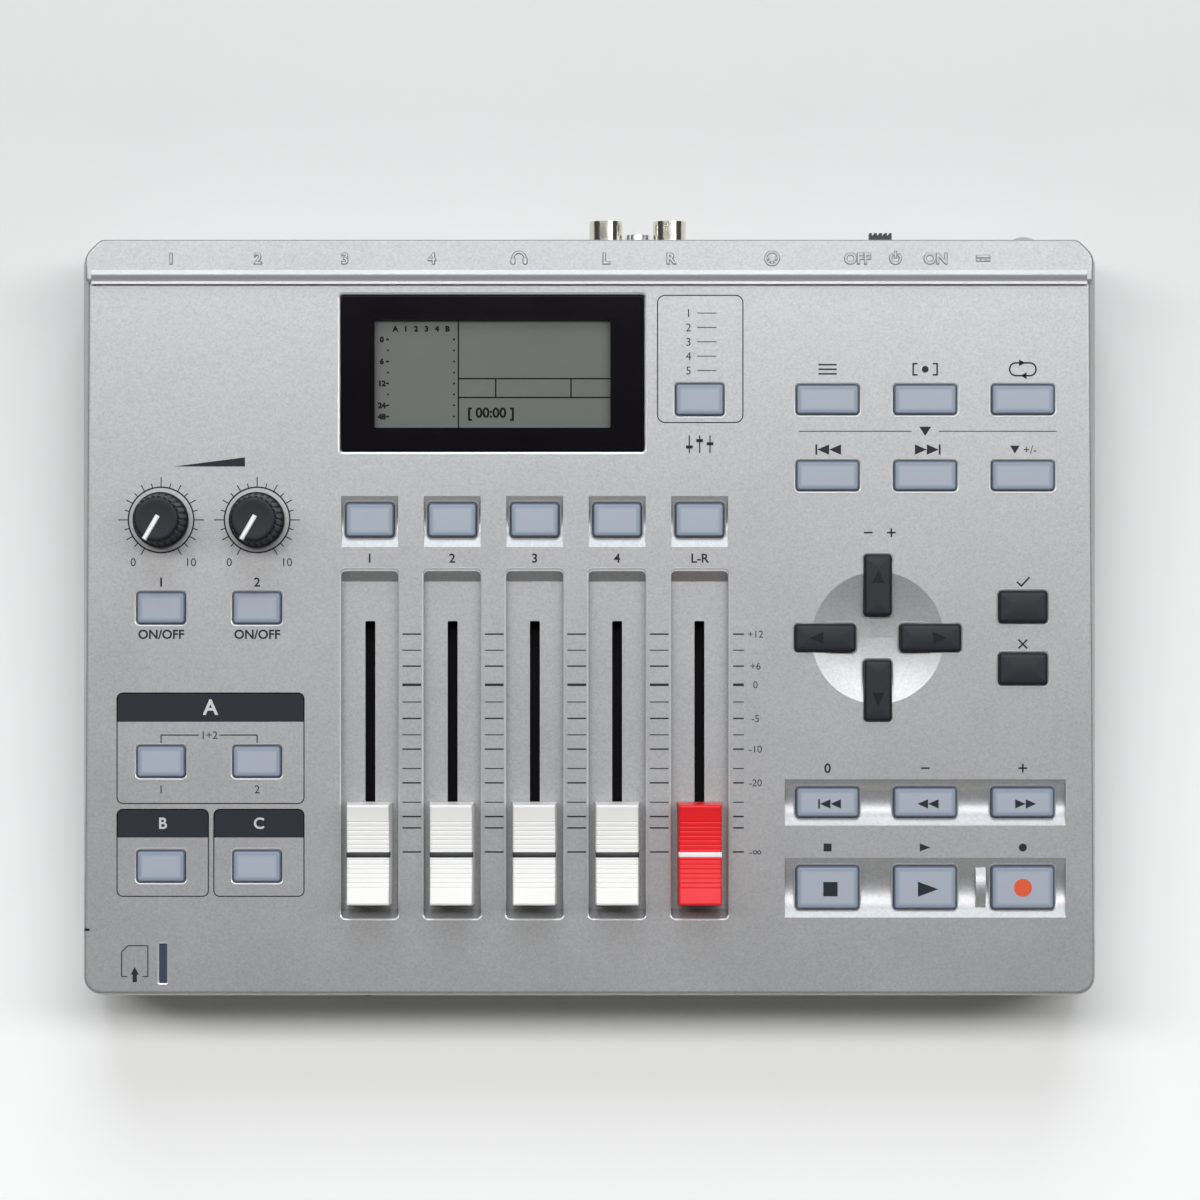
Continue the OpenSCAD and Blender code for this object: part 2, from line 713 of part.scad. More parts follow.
module phone_jacks() {
    color([0.12, 0.12, 0.13])
        for (x = phone_xs)
            difference() {
                union() {
                    span([x - jack_w / 2, rear_y - panel_t - jack_d, main_z],
                         [x + jack_w / 2, rear_y - panel_t, jack_z + jack_h]);
                    along_y(x, jack_z, collar_r, rear_y - panel_t - 1, rear_y + collar_rise);
                }
                along_y(x, jack_z, phone_r, rear_y - panel_t - jack_d + 3, rear_y + 2);
            }
}

module phono_jacks() {
    color("gainsboro") {
        difference() {
            span([phono_xs[0] - phono_side, rear_y - panel_t - phono_d, main_z],
                 [phono_xs[1] + phono_side, rear_y - panel_t, jack_z + phono_side]);
            for (x = phono_xs)
                along_y(x, jack_z, phono_r + glue_gap, rear_y - panel_t - barrel_l - glue_gap, rear_y);
            along_y(phono_x, jack_z, screw_r + 0.05, rear_y - panel_t - phono_d + 1, rear_y);
        }
        for (x = phono_xs) {
            difference() {
                along_y(x, jack_z, phono_r, rear_y - panel_t - barrel_l, rear_y + socket_reach);
                along_y(x, jack_z, phono_r - 0.6, rear_y - panel_t - barrel_l - 1, rear_y + socket_reach + 1);
            }
            difference() {
                along_y(x, jack_z, phono_r - 0.6 - glue_gap,
                        rear_y - panel_t - barrel_l, rear_y + socket_reach - 0.6);
                along_y(x, jack_z, 1.65, rear_y + socket_reach - 9, rear_y + socket_reach);
            }
        }
    }
}

module midi_socket() {
    color([0.1, 0.1, 0.11])
        difference() {
            union() {
                span([midi_x - midi_w / 2, rear_y - panel_t - midi_d, main_z],
                     [midi_x + midi_w / 2, rear_y - panel_t, jack_z + midi_h]);
                along_y(midi_x, jack_z, midi_r + 0.5, rear_y - panel_t - 1, rear_y - 0.2);
            }
            difference() {
                along_y(midi_x, jack_z, midi_r, rear_y - 8, rear_y + 1);
                along_y(midi_x, jack_z, midi_r - 0.7, rear_y - 9, rear_y - 1.2);
            }
            for (a = [-90:45:90])
                along_y(midi_x + 4.4 * sin(a), jack_z - 4.4 * cos(a), 0.8, rear_y - 9, rear_y);
            span([midi_x - 1.5, rear_y - 7, jack_z + 4.6], [midi_x + 1.5, rear_y + 1, jack_z + 6.5]);
        }
}

module dc_socket() {
    color([0.1, 0.1, 0.11])
        difference() {
            union() {
                span([inlet_x - inlet_w / 2, rear_y - panel_t - inlet_d, main_z],
                     [inlet_x + inlet_w / 2, rear_y - panel_t, jack_z + inlet_w / 2]);
                along_y(inlet_x, jack_z, inlet_r + 1.1, rear_y - panel_t - 1, rear_y - 0.2);
            }
            difference() {
                along_y(inlet_x, jack_z, inlet_r, rear_y - 10.5, rear_y + 1);
                along_y(inlet_x, jack_z, 1.05, rear_y - 11, rear_y - 1.5);
            }
        }
}

module power_switch() {
    color("lightsteelblue")
        difference() {
            span([power_x - switch_w / 2, rear_y - panel_t - switch_d, main_z],
                 [power_x + power_travel + switch_w / 2, rear_y - panel_t, jack_z + switch_w / 2 - 0.5]);
            span([power_x - slider_w / 2 - 0.4, rear_y - panel_t - 6, jack_z - slider_h / 2 - 0.4],
                 [power_x + power_travel + slider_w / 2 + 0.4, rear_y, jack_z + slider_h / 2 + 0.4]);
        }
}

module power_slider() {
    color([0.1, 0.1, 0.11]) {
        span([power_x - slider_w / 2, rear_y - panel_t - 5.7, jack_z - slider_h / 2],
             [power_x + slider_w / 2, rear_y + 0.4, jack_z + slider_h / 2]);
        difference() {
            span([power_x - knob_w / 2, rear_y + 0.3, jack_z - knob_h / 2],
                 [power_x + knob_w / 2, rear_y + 2.6, jack_z + knob_h / 2]);
            for (i = [-1.5:1:1.5])
                span([power_x + i * knob_w * 0.23 - 0.3, rear_y + 2, jack_z - knob_h],
                     [power_x + i * knob_w * 0.23 + 0.3, rear_y + 3, jack_z + knob_h]);
        }
    }
}

module card_socket() {
    color("lightsteelblue")
        difference() {
            span([card_x - card_case_w / 2, card_wall_y + 2, card_z - 1.9],
                 [card_x + card_case_w / 2, card_wall_y + card_case_d, card_z + 2.6]);
            span([card_x - card_w / 2, card_wall_y + 1, card_z - 0.7],
                 [card_x + card_w / 2, card_wall_y + card_d, card_z + 0.7]);
        }
}

module access_light() {
    color("slategray")
        translate([light_x, light_y, 0]) {
            prism(light_w - 0.2, light_l - 0.2, 0.2, board_z, deck_z - light_sink);
            prism(light_w + 2, light_l + 0.8, 0.5, under_z - 2, under_z);
        }
}

module rubber_feet() {
    color([0.15, 0.15, 0.15])
        for (x = [-1, 1], y = [front_y + 2 * foot_r, rear_y - 2 * foot_r])
            translate([x * (side_x - 2 * foot_r), y, 0])
                rotate_extrude() polygon([
                    [0, 0],
                    [foot_r - 0.8, 0],
                    [foot_r, 0.8],
                    [foot_r, foot_h + 0.4],
                    [0, foot_h + 0.4]
                ]);
}

// Pan-head screw with its shank up
module screw() {
    translate([0, 0, -screw_head_h])
        difference() {
            cylinder(r = screw_head_r, h = screw_head_h);
            for (a = [0, 90])
                rotate([0, 0, a]) translate([-1.6, -0.35, -1]) cube([3.2, 0.7, 2.2]);
        }
    cylinder(r = screw_r, h = screw_l);
}

module case_screws() {
    color("dimgray") {
        for (b = bosses)
            translate([b[0], b[1], seat_z]) screw();
        translate([phono_x, rear_y, jack_z]) rotate([90, 0, 0]) screw();
    }
}

module battery_contacts() {
    color("silver")
        for (i = [0:3], s = [-1, 1])
            translate([battery_x + (i - 1.5) * battery_w * 0.247,
                       battery_y + s * (battery_d / 2 - 0.25), foot_h + 9.8])
                cube([9, 0.5, 9], center = true);
}

module card_door() {
    color("silver") {
        difference() {
            union() {
                intersection() {
                    lower_body();
                    door_zone(0);
                }
                translate([hinge_x, hinge_y, door_z0])
                    cylinder(r = knuckle_r - 0.2, h = door_z1 - door_z0);
            }
            difference() {
                span([2.8 - side_x, front_y + 2.8, door_z0 - 1],
                     [hinge_x, front_y + wing_d + 1, door_z1 + 1]);
                translate([hinge_x, hinge_y, door_z0 - 2])
                    cylinder(r = knuckle_r - 0.2, h = door_z1 - door_z0 + 4);
            }
            translate([10 - side_x, front_y - 3.2, (door_z0 + door_z1) / 2])
                rotate([0, 90, 0]) cylinder(r = 4.6, h = 16);
        }
        for (z = [door_z0 - 1.2, door_z1 - 0.5])
            translate([hinge_x, hinge_y, z]) cylinder(r = pin_r, h = 1.7);
    }
}

module battery_cover() {
    color("dimgray")
        translate([battery_x, battery_y, 0]) {
            difference() {
                prism(battery_w + 2 * cover_rim - 0.6, battery_d + 2 * cover_rim - 0.6, 1.3,
                      foot_h, foot_h + cover_t);
                for (i = [0:2])
                    span([-10, battery_d / 2 - 12 + 3 * i, foot_h - 1],
                         [10, battery_d / 2 - 10.8 + 3 * i, foot_h + 0.6]);
            }
            span([-5, battery_d / 2 - 2.6, foot_h + cover_t - 0.4],
                 [5, battery_d / 2 - 1.2, foot_h + cover_t + 3.6]);
        }
}

// Side view of a fader cap: dished top with fine cross ribs
function cap_top(y) =
    let (half = cap_l / 2 - 2.4, r = bow(2 * half, 1.8)) cap_h + r - 1.8 - sqrt(r * r - y * y);

module fader(i) {
    x = fader_x[i];
    half = cap_l / 2;
    ribs = 18;
    step = (2 * half - 5.6) / ribs;
    side = concat(
        [[-half, 0], [half, 0], [half - 0.7, cap_h - 1.4]],
        [[half - 1.3, cap_h - 0.35], [half - 2.4, cap_h]],
        [for (n = [0:ribs]) each let (y = half - 2.8 - n * step)
            [[y, cap_top(y) - 0.1], if (n < ribs) [y - step * 0.35, cap_top(y - step * 0.35) - 0.4],
             if (n < ribs) [y - step * 0.65, cap_top(y - step * 0.65) - 0.4]]],
        [[2.4 - half, cap_h], [1.3 - half, cap_h - 0.35], [0.7 - half, cap_h - 1.4]]
    );
    translate([x, fader_y, cap_z]) {
        color(i == 4 ? "crimson" : "white")
            difference() {
                intersection() {
                    translate([cap_w / 2, 0, 0]) rotate([90, 0, -90])
                        linear_extrude(cap_w) polygon(side);
                    translate([0, half, 0]) rotate([90, 0, 0]) linear_extrude(cap_l)
                        polygon([
                            [-cap_w / 2, 0],
                            [cap_w / 2, 0],
                            [cap_w / 2 - 0.9, cap_h - 0.9],
                            [cap_w / 2 - 1.5, cap_h],
                            [1.5 - cap_w / 2, cap_h],
                            [0.9 - cap_w / 2, cap_h - 0.9]
                        ]);
                }
                span([-cap_w, -marker_t / 2 - glue_gap, cap_h - 5 - glue_gap],
                     [cap_w, marker_t / 2 + glue_gap, cap_h + 1]);
                span([-lever_w / 2 - glue_gap, -lever_l / 2 - glue_gap, -1],
                     [lever_w / 2 + glue_gap, lever_l / 2 + glue_gap, cap_h - 6 + glue_gap]);
            }
        color(i == 4 ? "white" : "black")
            translate([0, marker_t / 2, 0]) rotate([90, 0, 0]) linear_extrude(marker_t)
                polygon([
                    [-cap_w / 2 + 0.35, cap_h - 5],
                    [cap_w / 2 - 0.35, cap_h - 5],
                    [cap_w / 2 - 0.55, cap_h - 2],
                    [cap_w / 2 - 1, cap_h - 1.5],
                    [1 - cap_w / 2, cap_h - 1.5],
                    [0.55 - cap_w / 2, cap_h - 2]
                ]);
    }
    color("silver") {
        span([x - lever_w / 2, fader_y - lever_l / 2, board_z + 3],
             [x + lever_w / 2, fader_y + lever_l / 2, cap_z + cap_h - 6]);
        span([x - 3.2, fader_y - 4, board_z + 1.2], [x + 3.2, fader_y + 4, guide_z - 1.6]);
    }
}

module dial(i) {
    foot_z = deck_z + 0.8;
    top_z = foot_z + dial_h;
    pointer_l = dial_r - 1.4;
    translate([left_x[i], rear_y - row_dial, 0]) {
        color([0.2, 0.2, 0.22])
            difference() {
                translate([0, 0, foot_z])
                    rotate_extrude($fn = 96) polygon(concat(
                        [[0, 0], [dial_r, 0], [dial_r, 1.2], [dial_r - 0.5, 1.6]],
                        arc(dial_r - 2.1, dial_h - 0.9, 0.9, 10, 90, 4),
                        [[0, dial_h - 0.25]]
                    ));
                translate([0, 0, foot_z - 1])
                    cylinder(r = shaft_r + glue_gap, h = dial_h - 2 + glue_gap);
                for (n = [0:flutes - 1])
                    rotate([0, 0, (n + 0.5) * 360 / flutes]) translate([dial_r - 0.3, 0, foot_z + 2])
                        rotate([0, -5, 0]) cylinder(r = flute_r, h = dial_h, $fn = 16);
                rotate([0, 0, 240])
                    span([-0.8 - glue_gap, -0.6 - glue_gap, top_z - 0.9 - glue_gap],
                         [dial_r + 1, 0.6 + glue_gap, top_z + 1]);
            }
        color("white")
            rotate([0, 0, 240]) span([-0.8, -0.6, top_z - 0.9], [pointer_l, 0.6, top_z + 0.15]);
        color("silver")
            translate([0, 0, board_z + 1.5])
                cylinder(r = shaft_r, h = top_z - 3 - board_z - 1.5);
    }
}

module key(k) {
    w = k[3] - 2 * key_gap;
    d = k[4] - 2 * key_gap;
    top = deck_z + k[5];
    bevel = k[6] ? 0.9 : 0.7;
    color(k[6] ? [0.17, 0.18, 0.21] : [0.62, 0.66, 0.72])
        translate([k[1], rear_y - k[2], 0]) {
            hull() {
                prism(w, d, 0.8, guide_z - 0.5, top - bevel);
                prism(w - 2 * bevel, d - 2 * bevel, 0.6, top - 0.2, top);
            }
            prism(w + 1.8, d + 1.8, 0.8, guide_z - seat_gap - flange_t, guide_z - seat_gap);
            translate([0, 0, board_z + switch_h + stem_h + key_travel + 0.25])
                cylinder(r = 2, h = guide_z - 0.5 - board_z - switch_h - stem_h - key_travel - 0.25);
        }
}

top_cover();
bottom_case();
rear_panel();
display_window();
lcd_module();
panel_board();
main_board();
tact_switches();
fader_bodies();
dial_pots();
phone_jacks();
phono_jacks();
midi_socket();
dc_socket();
power_switch();
card_socket();
access_light();
rubber_feet();
case_screws();
battery_contacts();
card_door();
battery_cover();
power_slider();
for (i = [0:4])
    fader(i);
for (i = [0:1])
    dial(i);
for (k = keys)
    key(k);
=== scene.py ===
"""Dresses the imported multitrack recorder: finishes, key caps, fader caps, dials, print and display."""

import logging
import math
from collections.abc import Sequence
from dataclasses import dataclass, field, replace
from enum import Enum
from functools import cache

import bmesh
import bpy
import numpy as np
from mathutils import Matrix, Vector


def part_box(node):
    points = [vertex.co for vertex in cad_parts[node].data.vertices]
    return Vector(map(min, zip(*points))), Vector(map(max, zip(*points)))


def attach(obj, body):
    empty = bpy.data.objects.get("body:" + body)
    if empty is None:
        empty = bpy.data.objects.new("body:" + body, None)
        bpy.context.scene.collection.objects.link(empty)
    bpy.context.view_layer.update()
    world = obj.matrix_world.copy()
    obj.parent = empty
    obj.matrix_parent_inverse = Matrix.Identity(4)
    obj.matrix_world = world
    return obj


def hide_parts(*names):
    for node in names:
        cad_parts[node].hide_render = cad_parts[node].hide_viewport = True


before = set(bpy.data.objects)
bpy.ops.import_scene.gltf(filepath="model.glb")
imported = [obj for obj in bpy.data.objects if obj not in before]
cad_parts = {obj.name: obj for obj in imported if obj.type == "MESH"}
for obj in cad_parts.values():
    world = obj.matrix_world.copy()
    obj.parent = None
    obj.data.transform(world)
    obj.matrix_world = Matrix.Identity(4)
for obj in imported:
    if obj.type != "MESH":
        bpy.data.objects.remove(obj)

LOG = logging.getLogger("recorder")
MM = 0.001
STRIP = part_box("top_cover")[1].z
STRIP_RISE = 1.7 * MM
DECK = STRIP - STRIP_RISE
KEY_FLANGE = 0.9 * MM
KEY_GAP = 0.35 * MM
INK_THICKNESS = 0.03 * MM
INK_SINK = 0.01 * MM

Colour = tuple[float, float, float]
Stops = Sequence[tuple[float, Colour]]
Socket = bpy.types.NodeSocket


class Symbol(Enum):
    """Transport signs: the first six in the order of the transport keys."""

    TO_START = "to_start"
    REWIND = "rewind"
    FORWARD = "forward"
    STOP = "stop"
    PLAY = "play"
    RECORD = "record"
    TO_END = "to_end"


class Tick(Enum):
    """Lengths of the tick marks round a dial, in millimetres."""

    LONG = 2.4
    MEDIUM = 1.7
    SHORT = 1.1


TRACK_KEYS = [*(f"track_key_{n}" for n in range(1, 5)), "main_key"]
SMALL_KEYS = ["parameter_key", "input_key_1", "input_key_2", *(f"left_key_{n}" for n in range(1, 5))]
GRID_KEYS = [f"grid_key_{n}" for n in range(1, 7)]
RUN_ROWS = [["zero_key", "rewind_key", "forward_key"], ["stop_key", "play_key", "record_key"]]
RUN_SIGNS = dict(zip(RUN_ROWS[0] + RUN_ROWS[1], Symbol))
CURSOR_TURNS = {"cursor_up": 90.0, "cursor_down": 270.0, "cursor_left": 180.0, "cursor_right": 0.0}
ENTRY_KEYS = ["enter_key", "exit_key"]
MAIN_FADER = "fader_main"
FADERS = [*(f"fader_{n}" for n in range(1, 5)), MAIN_FADER]
DIALS = ["dial_1", "dial_2"]


def linear(colour: Colour) -> tuple[float, float, float, float]:
    """Turns an 8-bit display colour into a linear colour with full alpha.

    Args:
        colour: red, green and blue from 0 to 255.

    Returns:
        The linear red, green, blue and alpha from 0 to 1.
    """
    c = np.asarray(colour, float) / 255
    lin = np.where(c <= 0.04045, c / 12.92, ((c + 0.055) / 1.055) ** 2.4)
    return (*lin.tolist(), 1.0)


@dataclass
class Wiring:
    """Adds nodes to a shader tree. An input is set to a value, or linked where a socket is given."""

    tree: bpy.types.NodeTree

    def feed(self, node: bpy.types.Node, inputs: dict) -> None:
        """Sets or links inputs of a node.

        Args:
            node: the node.
            inputs: values or sockets by the input's name or number.
        """
        for key, value in inputs.items():
            if isinstance(value, Socket):
                self.tree.links.new(value, node.inputs[key])
            else:
                node.inputs[key].default_value = value

    def add(self, kind: str, inputs: dict, **settings: object) -> bpy.types.Node:
        """Adds a node.

        Args:
            kind: its type, without the leading ShaderNode.
            inputs: values or sockets by the input's name or number.
            settings: its properties.

        Returns:
            The new node.
        """
        node = self.tree.nodes.new(f"ShaderNode{kind}")
        for key, value in settings.items():
            setattr(node, key, value)
        self.feed(node, inputs)
        return node

    def group(self, tree: bpy.types.NodeTree, **inputs: Socket | float) -> bpy.types.Node:
        """Returns a new node of a shared group."""
        return self.add("Group", inputs, node_tree=tree)

    def math(self, operation: str, *inputs: Socket | float) -> Socket:
        """Returns the result of a math node."""
        return self.add("Math", dict(enumerate(inputs)), operation=operation).outputs[0]

    def ramp(self, place: Socket, stops: Stops, blend: str = "LINEAR") -> Socket:
        """Adds a ramp of colours.

        Args:
            place: the socket that says where on the ramp.
            stops: two or more places from 0 to 1, in order, with their 8-bit colours.
            blend: how the ramp goes from stop to stop.

        Returns:
            The socket of the ramp's colour.
        """
        node = self.add("ValToRGB", {"Fac": place})
        node.color_ramp.interpolation = blend
        elements = node.color_ramp.elements
        for position, _ in stops[2:]:
            elements.new(position)
        for element, (position, colour) in zip(elements, stops):
            element.position = position
            element.color = linear(colour)
        return node.outputs["Color"]


class NodeGroups:
    """Shared shader effects: paint flakes, moulded grain and soiling, each a node group built once."""

    @staticmethod
    def _start(name: str, inputs: list[str], outputs: list[str]) -> tuple:
        """Starts a node group with a Vector input, number inputs and number outputs.

        Args:
            name: the group's name.
            inputs: names of the number inputs.
            outputs: names of the number outputs.

        Returns:
            The group's wiring, the sockets of its inputs by name, and its output node.
        """
        tree = bpy.data.node_groups.new(name, "ShaderNodeTree")
        tree.interface.new_socket("Vector", in_out="INPUT", socket_type="NodeSocketVector")
        for way, keys in (("INPUT", inputs), ("OUTPUT", outputs)):
            for key in keys:
                tree.interface.new_socket(key, in_out=way, socket_type="NodeSocketFloat")
        return Wiring(tree), tree.nodes.new("NodeGroupInput").outputs, tree.nodes.new("NodeGroupOutput")

    @staticmethod
    @cache
    def flakes() -> bpy.types.NodeTree:
        """Builds the group that gives each tiny cell of a metallic paint its own brightness.

        Returns:
            The group.
        """
        wires, given, out = NodeGroups._start("paint_flakes", ["Scale", "Spread"], ["Tint", "Height"])
        cells = wires.add("TexVoronoi", {"Vector": given["Vector"], "Scale": given["Scale"]}, feature="F1")
        half = wires.math("MULTIPLY", given["Scale"], 0.5)
        clouds = wires.add("TexNoise", {"Vector": given["Vector"], "Scale": half, "Detail": 3.0})
        cell = wires.add("SeparateColor", {"Color": cells.outputs["Color"]}).outputs["Red"]
        blend = wires.math("MULTIPLY_ADD", cell, 0.5, clouds.outputs["Fac"])
        level = wires.math("MULTIPLY_ADD", given["Spread"], -0.75, 1.0)
        tint = wires.math("MULTIPLY_ADD", blend, given["Spread"], level)
        wires.feed(out, {"Tint": tint, "Height": blend})
        return wires.tree

    @staticmethod
    @cache
    def grain() -> bpy.types.NodeTree:
        """Builds the group that gives the fine pebbled skin of moulded plastic as a height.

        Returns:
            The group.
        """
        wires, given, out = NodeGroups._start("moulded_grain", ["Scale", "Stretch"], ["Height"])
        stretch = wires.add("CombineXYZ", {"X": 1.0, "Y": given["Stretch"], "Z": 1.0}).outputs["Vector"]
        place = wires.add("VectorMath", {0: given["Vector"], 1: stretch}, operation="MULTIPLY")
        look = {"Scale": given["Scale"], "Detail": 4.0, "Roughness": 0.6}
        noise = wires.add("TexNoise", {"Vector": place.outputs["Vector"], **look})
        wires.feed(out, {"Height": noise.outputs["Fac"]})
        return wires.tree

    @staticmethod
    @cache
    def soil() -> bpy.types.NodeTree:
        """Builds the group that gives broad, faint clouds of handling marks from 1 down to 1 - Amount.

        Returns:
            The group.
        """
        wires, given, out = NodeGroups._start("handling_soil", ["Scale", "Amount"], ["Tint", "Mask"])
        look = {"Scale": given["Scale"], "Detail": 6.0, "Roughness": 0.62}
        noise = wires.add("TexNoise", {"Vector": given["Vector"], **look})
        mask = wires.add("MapRange", {"Value": noise.outputs["Fac"], "From Min": 0.35, "From Max": 0.7})
        less = wires.math("MULTIPLY", mask.outputs["Result"], given["Amount"])
        wires.feed(out, {"Tint": wires.math("SUBTRACT", 1.0, less), "Mask": mask.outputs["Result"]})
        return wires.tree


@dataclass(frozen=True)
class Finish:
    """A surface finish with its own colour, gloss, flakes, grain and soiling."""

    name: str
    colour: Colour
    roughness: float
    metallic: float = 0.0
    coat: float = 0.0
    coat_roughness: float = 0.1
    specular: float = 0.5
    alpha: float = 1.0
    flake_spread: float = 0.0
    flake_scale: float = 2600.0
    grain: float = 0.0
    grain_scale: float = 2200.0
    grain_stretch: float = 1.0
    grain_height: float = 0.05 * MM
    soil: float = 0.04
    soil_scale: float = 28.0
    roughness_swing: float = 0.06

    @cache
    def material(self) -> bpy.types.Material:
        """Builds the finish's material from the shared node groups, on its first use.

        Returns:
            The material.
        """
        made = bpy.data.materials.new(self.name)
        made.use_nodes = True
        shader = made.node_tree.nodes["Principled BSDF"]
        wires = Wiring(made.node_tree)
        place = wires.add("TexCoord", {}).outputs["Object"]
        soil = wires.group(NodeGroups.soil(), Vector=place, Scale=self.soil_scale, Amount=self.soil)
        tint = soil.outputs["Tint"]
        if self.flake_spread:
            look = {"Scale": self.flake_scale, "Spread": self.flake_spread}
            flakes = wires.group(NodeGroups.flakes(), Vector=place, **look)
            tint = wires.math("MULTIPLY", tint, flakes.outputs["Tint"])
        base = self.colour_source(wires, place)
        colour = wires.add("VectorMath", {}, operation="SCALE")
        wires.feed(colour, {0: base, "Scale": tint})
        half = self.roughness_swing / 2
        ends = {"To Min": self.roughness - half, "To Max": self.roughness + half}
        roughness = wires.add("MapRange", {"Value": soil.outputs["Mask"], **ends})
        gloss = {
            "Metallic": self.metallic,
            "Coat Weight": self.coat,
            "Coat Roughness": self.coat_roughness,
            "Specular IOR Level": self.specular,
            "Alpha": self.alpha,
            "Base Color": colour.outputs["Vector"],
            "Roughness": roughness.outputs["Result"],
        }
        wires.feed(shader, gloss)
        if self.grain:
            look = {"Scale": self.grain_scale, "Stretch": self.grain_stretch}
            height = wires.group(NodeGroups.grain(), Vector=place, **look).outputs["Height"]
            depth = {"Strength": self.grain, "Distance": self.grain_height}
            wires.feed(shader, {"Normal": wires.add("Bump", {"Height": height, **depth}).outputs["Normal"]})
        return made

    def colour_source(self, wires: Wiring, place: Socket) -> Socket | Colour:
        """Returns the colour under flakes and soiling: one all over here, or a pattern's socket."""
        return linear(self.colour)[:3]


@dataclass(frozen=True)
class RimShadeFinish(Finish):
    """A translucent key: its colour runs from a dark edge to a pale face along the point value 'inset'; the
    dark edge and the darker rim are painted shade of the gap and the rounded edge, and the face is the
    key's own colour.
    """

    # Dark edge and darker rim: painted shade of the gap and the rounded edge; the last stop is the face's
    # own colour.
    stops: Stops = (
        (0.0, (92, 100, 114)),
        (0.07, (92, 100, 114)),
        (0.13, (133, 144, 160)),
        (0.23, (133, 144, 160)),
        (0.40, (159, 166, 178)),
    )

    def colour_source(self, wires: Wiring, place: Socket) -> Socket:
        """Returns a ramp over the key's inset from its outline, in millimetres over four: painted edge
        shade fading to the face colour.
        """
        inset = wires.add("Attribute", {}, attribute_name="inset").outputs["Fac"]
        return wires.ramp(inset, self.stops)


@dataclass(frozen=True)
class BoardFinish(Finish):
    """Solder mask with lighter copper tracks under it, from a stepped wave over the board."""

    track: Colour = (42, 120, 70)
    track_start: float = 0.62

    def colour_source(self, wires: Wiring, place: Socket) -> Socket:
        """Steps between mask and track colours by a distorted band pattern.

        Args:
            wires: the material's wiring.
            place: the socket of object coordinates.

        Returns:
            The socket of the colour.
        """
        wave = wires.add("TexWave", {"Vector": place, "Scale": 90.0, "Distortion": 9.0, "Detail": 1.0})
        stops = [(0.0, self.colour), (self.track_start, self.track)]
        return wires.ramp(wave.outputs["Fac"], stops, "CONSTANT")


@dataclass(frozen=True)
class CellFinish(Finish):
    """Liquid crystal face: a fine grid of dots in a second, near tone."""

    dot: Colour = (113, 117, 113)
    dots: float = 3000.0

    def colour_source(self, wires: Wiring, place: Socket) -> Socket:
        """Returns a checkered mix of the two tones, with cells of a third of a millimetre."""
        tones = {"Color1": linear(self.colour), "Color2": linear(self.dot)}
        return wires.add("TexChecker", {"Vector": place, "Scale": self.dots, **tones}).outputs["Color"]


@dataclass(frozen=True)
class ShadedPaperFinish(Finish):
    """Floor paper whose colour turns slowly greyer from the front to the rear: painted light falloff,
    lighter at the front.
    """

    rear: Colour = (219, 219, 218)
    front_y: float = -0.17
    rear_y: float = 0.13

    def colour_source(self, wires: Wiring, place: Socket) -> Socket:
        """Goes along Y from the front colour to the rear colour, as painted light.

        Args:
            wires: the material's wiring.
            place: the socket of object coordinates.

        Returns:
            The socket of the colour.
        """
        along = wires.add("SeparateXYZ", {"Vector": place}).outputs["Y"]
        span = wires.add("MapRange", {"Value": along, "From Min": self.front_y, "From Max": self.rear_y})
        return wires.ramp(span.outputs["Result"], [(0.0, self.colour), (1.0, self.rear)])


SILVER = Finish(
    "silver_paint", (165, 165, 166), 0.35, metallic=0.48, flake_spread=0.26, grain=0.10, soil=0.03
)
SILVER_LOW = Finish(
    "silver_paint_low", (146, 146, 148), 0.46, metallic=0.42, flake_spread=0.16, grain=0.12, soil=0.05
)
RELIEF = Finish("silver_relief", (171, 171, 173), 0.35, metallic=0.48, flake_spread=0.12, soil=0.02)
# Lighter than the deck's paint: a painted highlight on the lips, added to what their roll catches.
LIP_HIGHLIGHT = Finish("silver_edge_highlight", (196, 196, 198), 0.32, metallic=0.5, flake_spread=0.08, soil=0.02)
# Near white: painted light that lifts the step's shadow at the strip's foot.
PAINTED_FOOT_LIGHT = Finish("painted_light_line", (246, 246, 248), 0.5, metallic=0.05, specular=0.3, soil=0.02)
INK = Finish("print_ink", (36, 39, 47), 0.6, specular=0.2, flake_spread=0.10, flake_scale=4000)
PALE_INK = Finish("print_knockout", (190, 190, 193), 0.45, metallic=0.6, flake_spread=0.12)
ORANGE_INK = Finish("print_orange", (214, 76, 30), 0.5, flake_spread=0.06, flake_scale=4000)
BLACK_PANEL = Finish("moulded_black", (38, 38, 41), 0.55, grain=0.35, grain_scale=1500, soil=0.10)
GLOSS_BLACK = Finish("window_black", (10, 7, 13), 0.16, specular=0.12, soil=0.05, roughness_swing=0.04)
PANE = Finish("window_pane", (20, 22, 22), 0.12, alpha=0.06, specular=0.3, soil=0.05, roughness_swing=0.04)
CELL = CellFinish("crystal_face", (106, 110, 106), 0.6, specular=0.4, soil_scale=40)
SEGMENT = Finish("crystal_mark", (13, 14, 15), 0.6, specular=0.15, flake_spread=0.08, flake_scale=5000)
BOARD = BoardFinish("solder_mask", (26, 84, 50), 0.35, coat=0.3, soil=0.06)
SWITCH = Finish("switch_black", (20, 16, 20), 0.6, specular=0.15, grain=0.2)
STEEL = Finish("plated_steel", (176, 178, 180), 0.32, 1.0, grain=0.12, grain_scale=900, grain_stretch=0.05)
NICKEL = Finish("bright_nickel", (224, 220, 208), 0.14, metallic=1.0, soil=0.06, soil_scale=160)
LIGHT = Finish("smoked_light", (58, 68, 84), 0.3, specular=0.3, soil=0.05)
RUBBER = Finish("foot_rubber", (36, 36, 37), 0.82, grain=0.5, grain_scale=1800, soil=0.18)
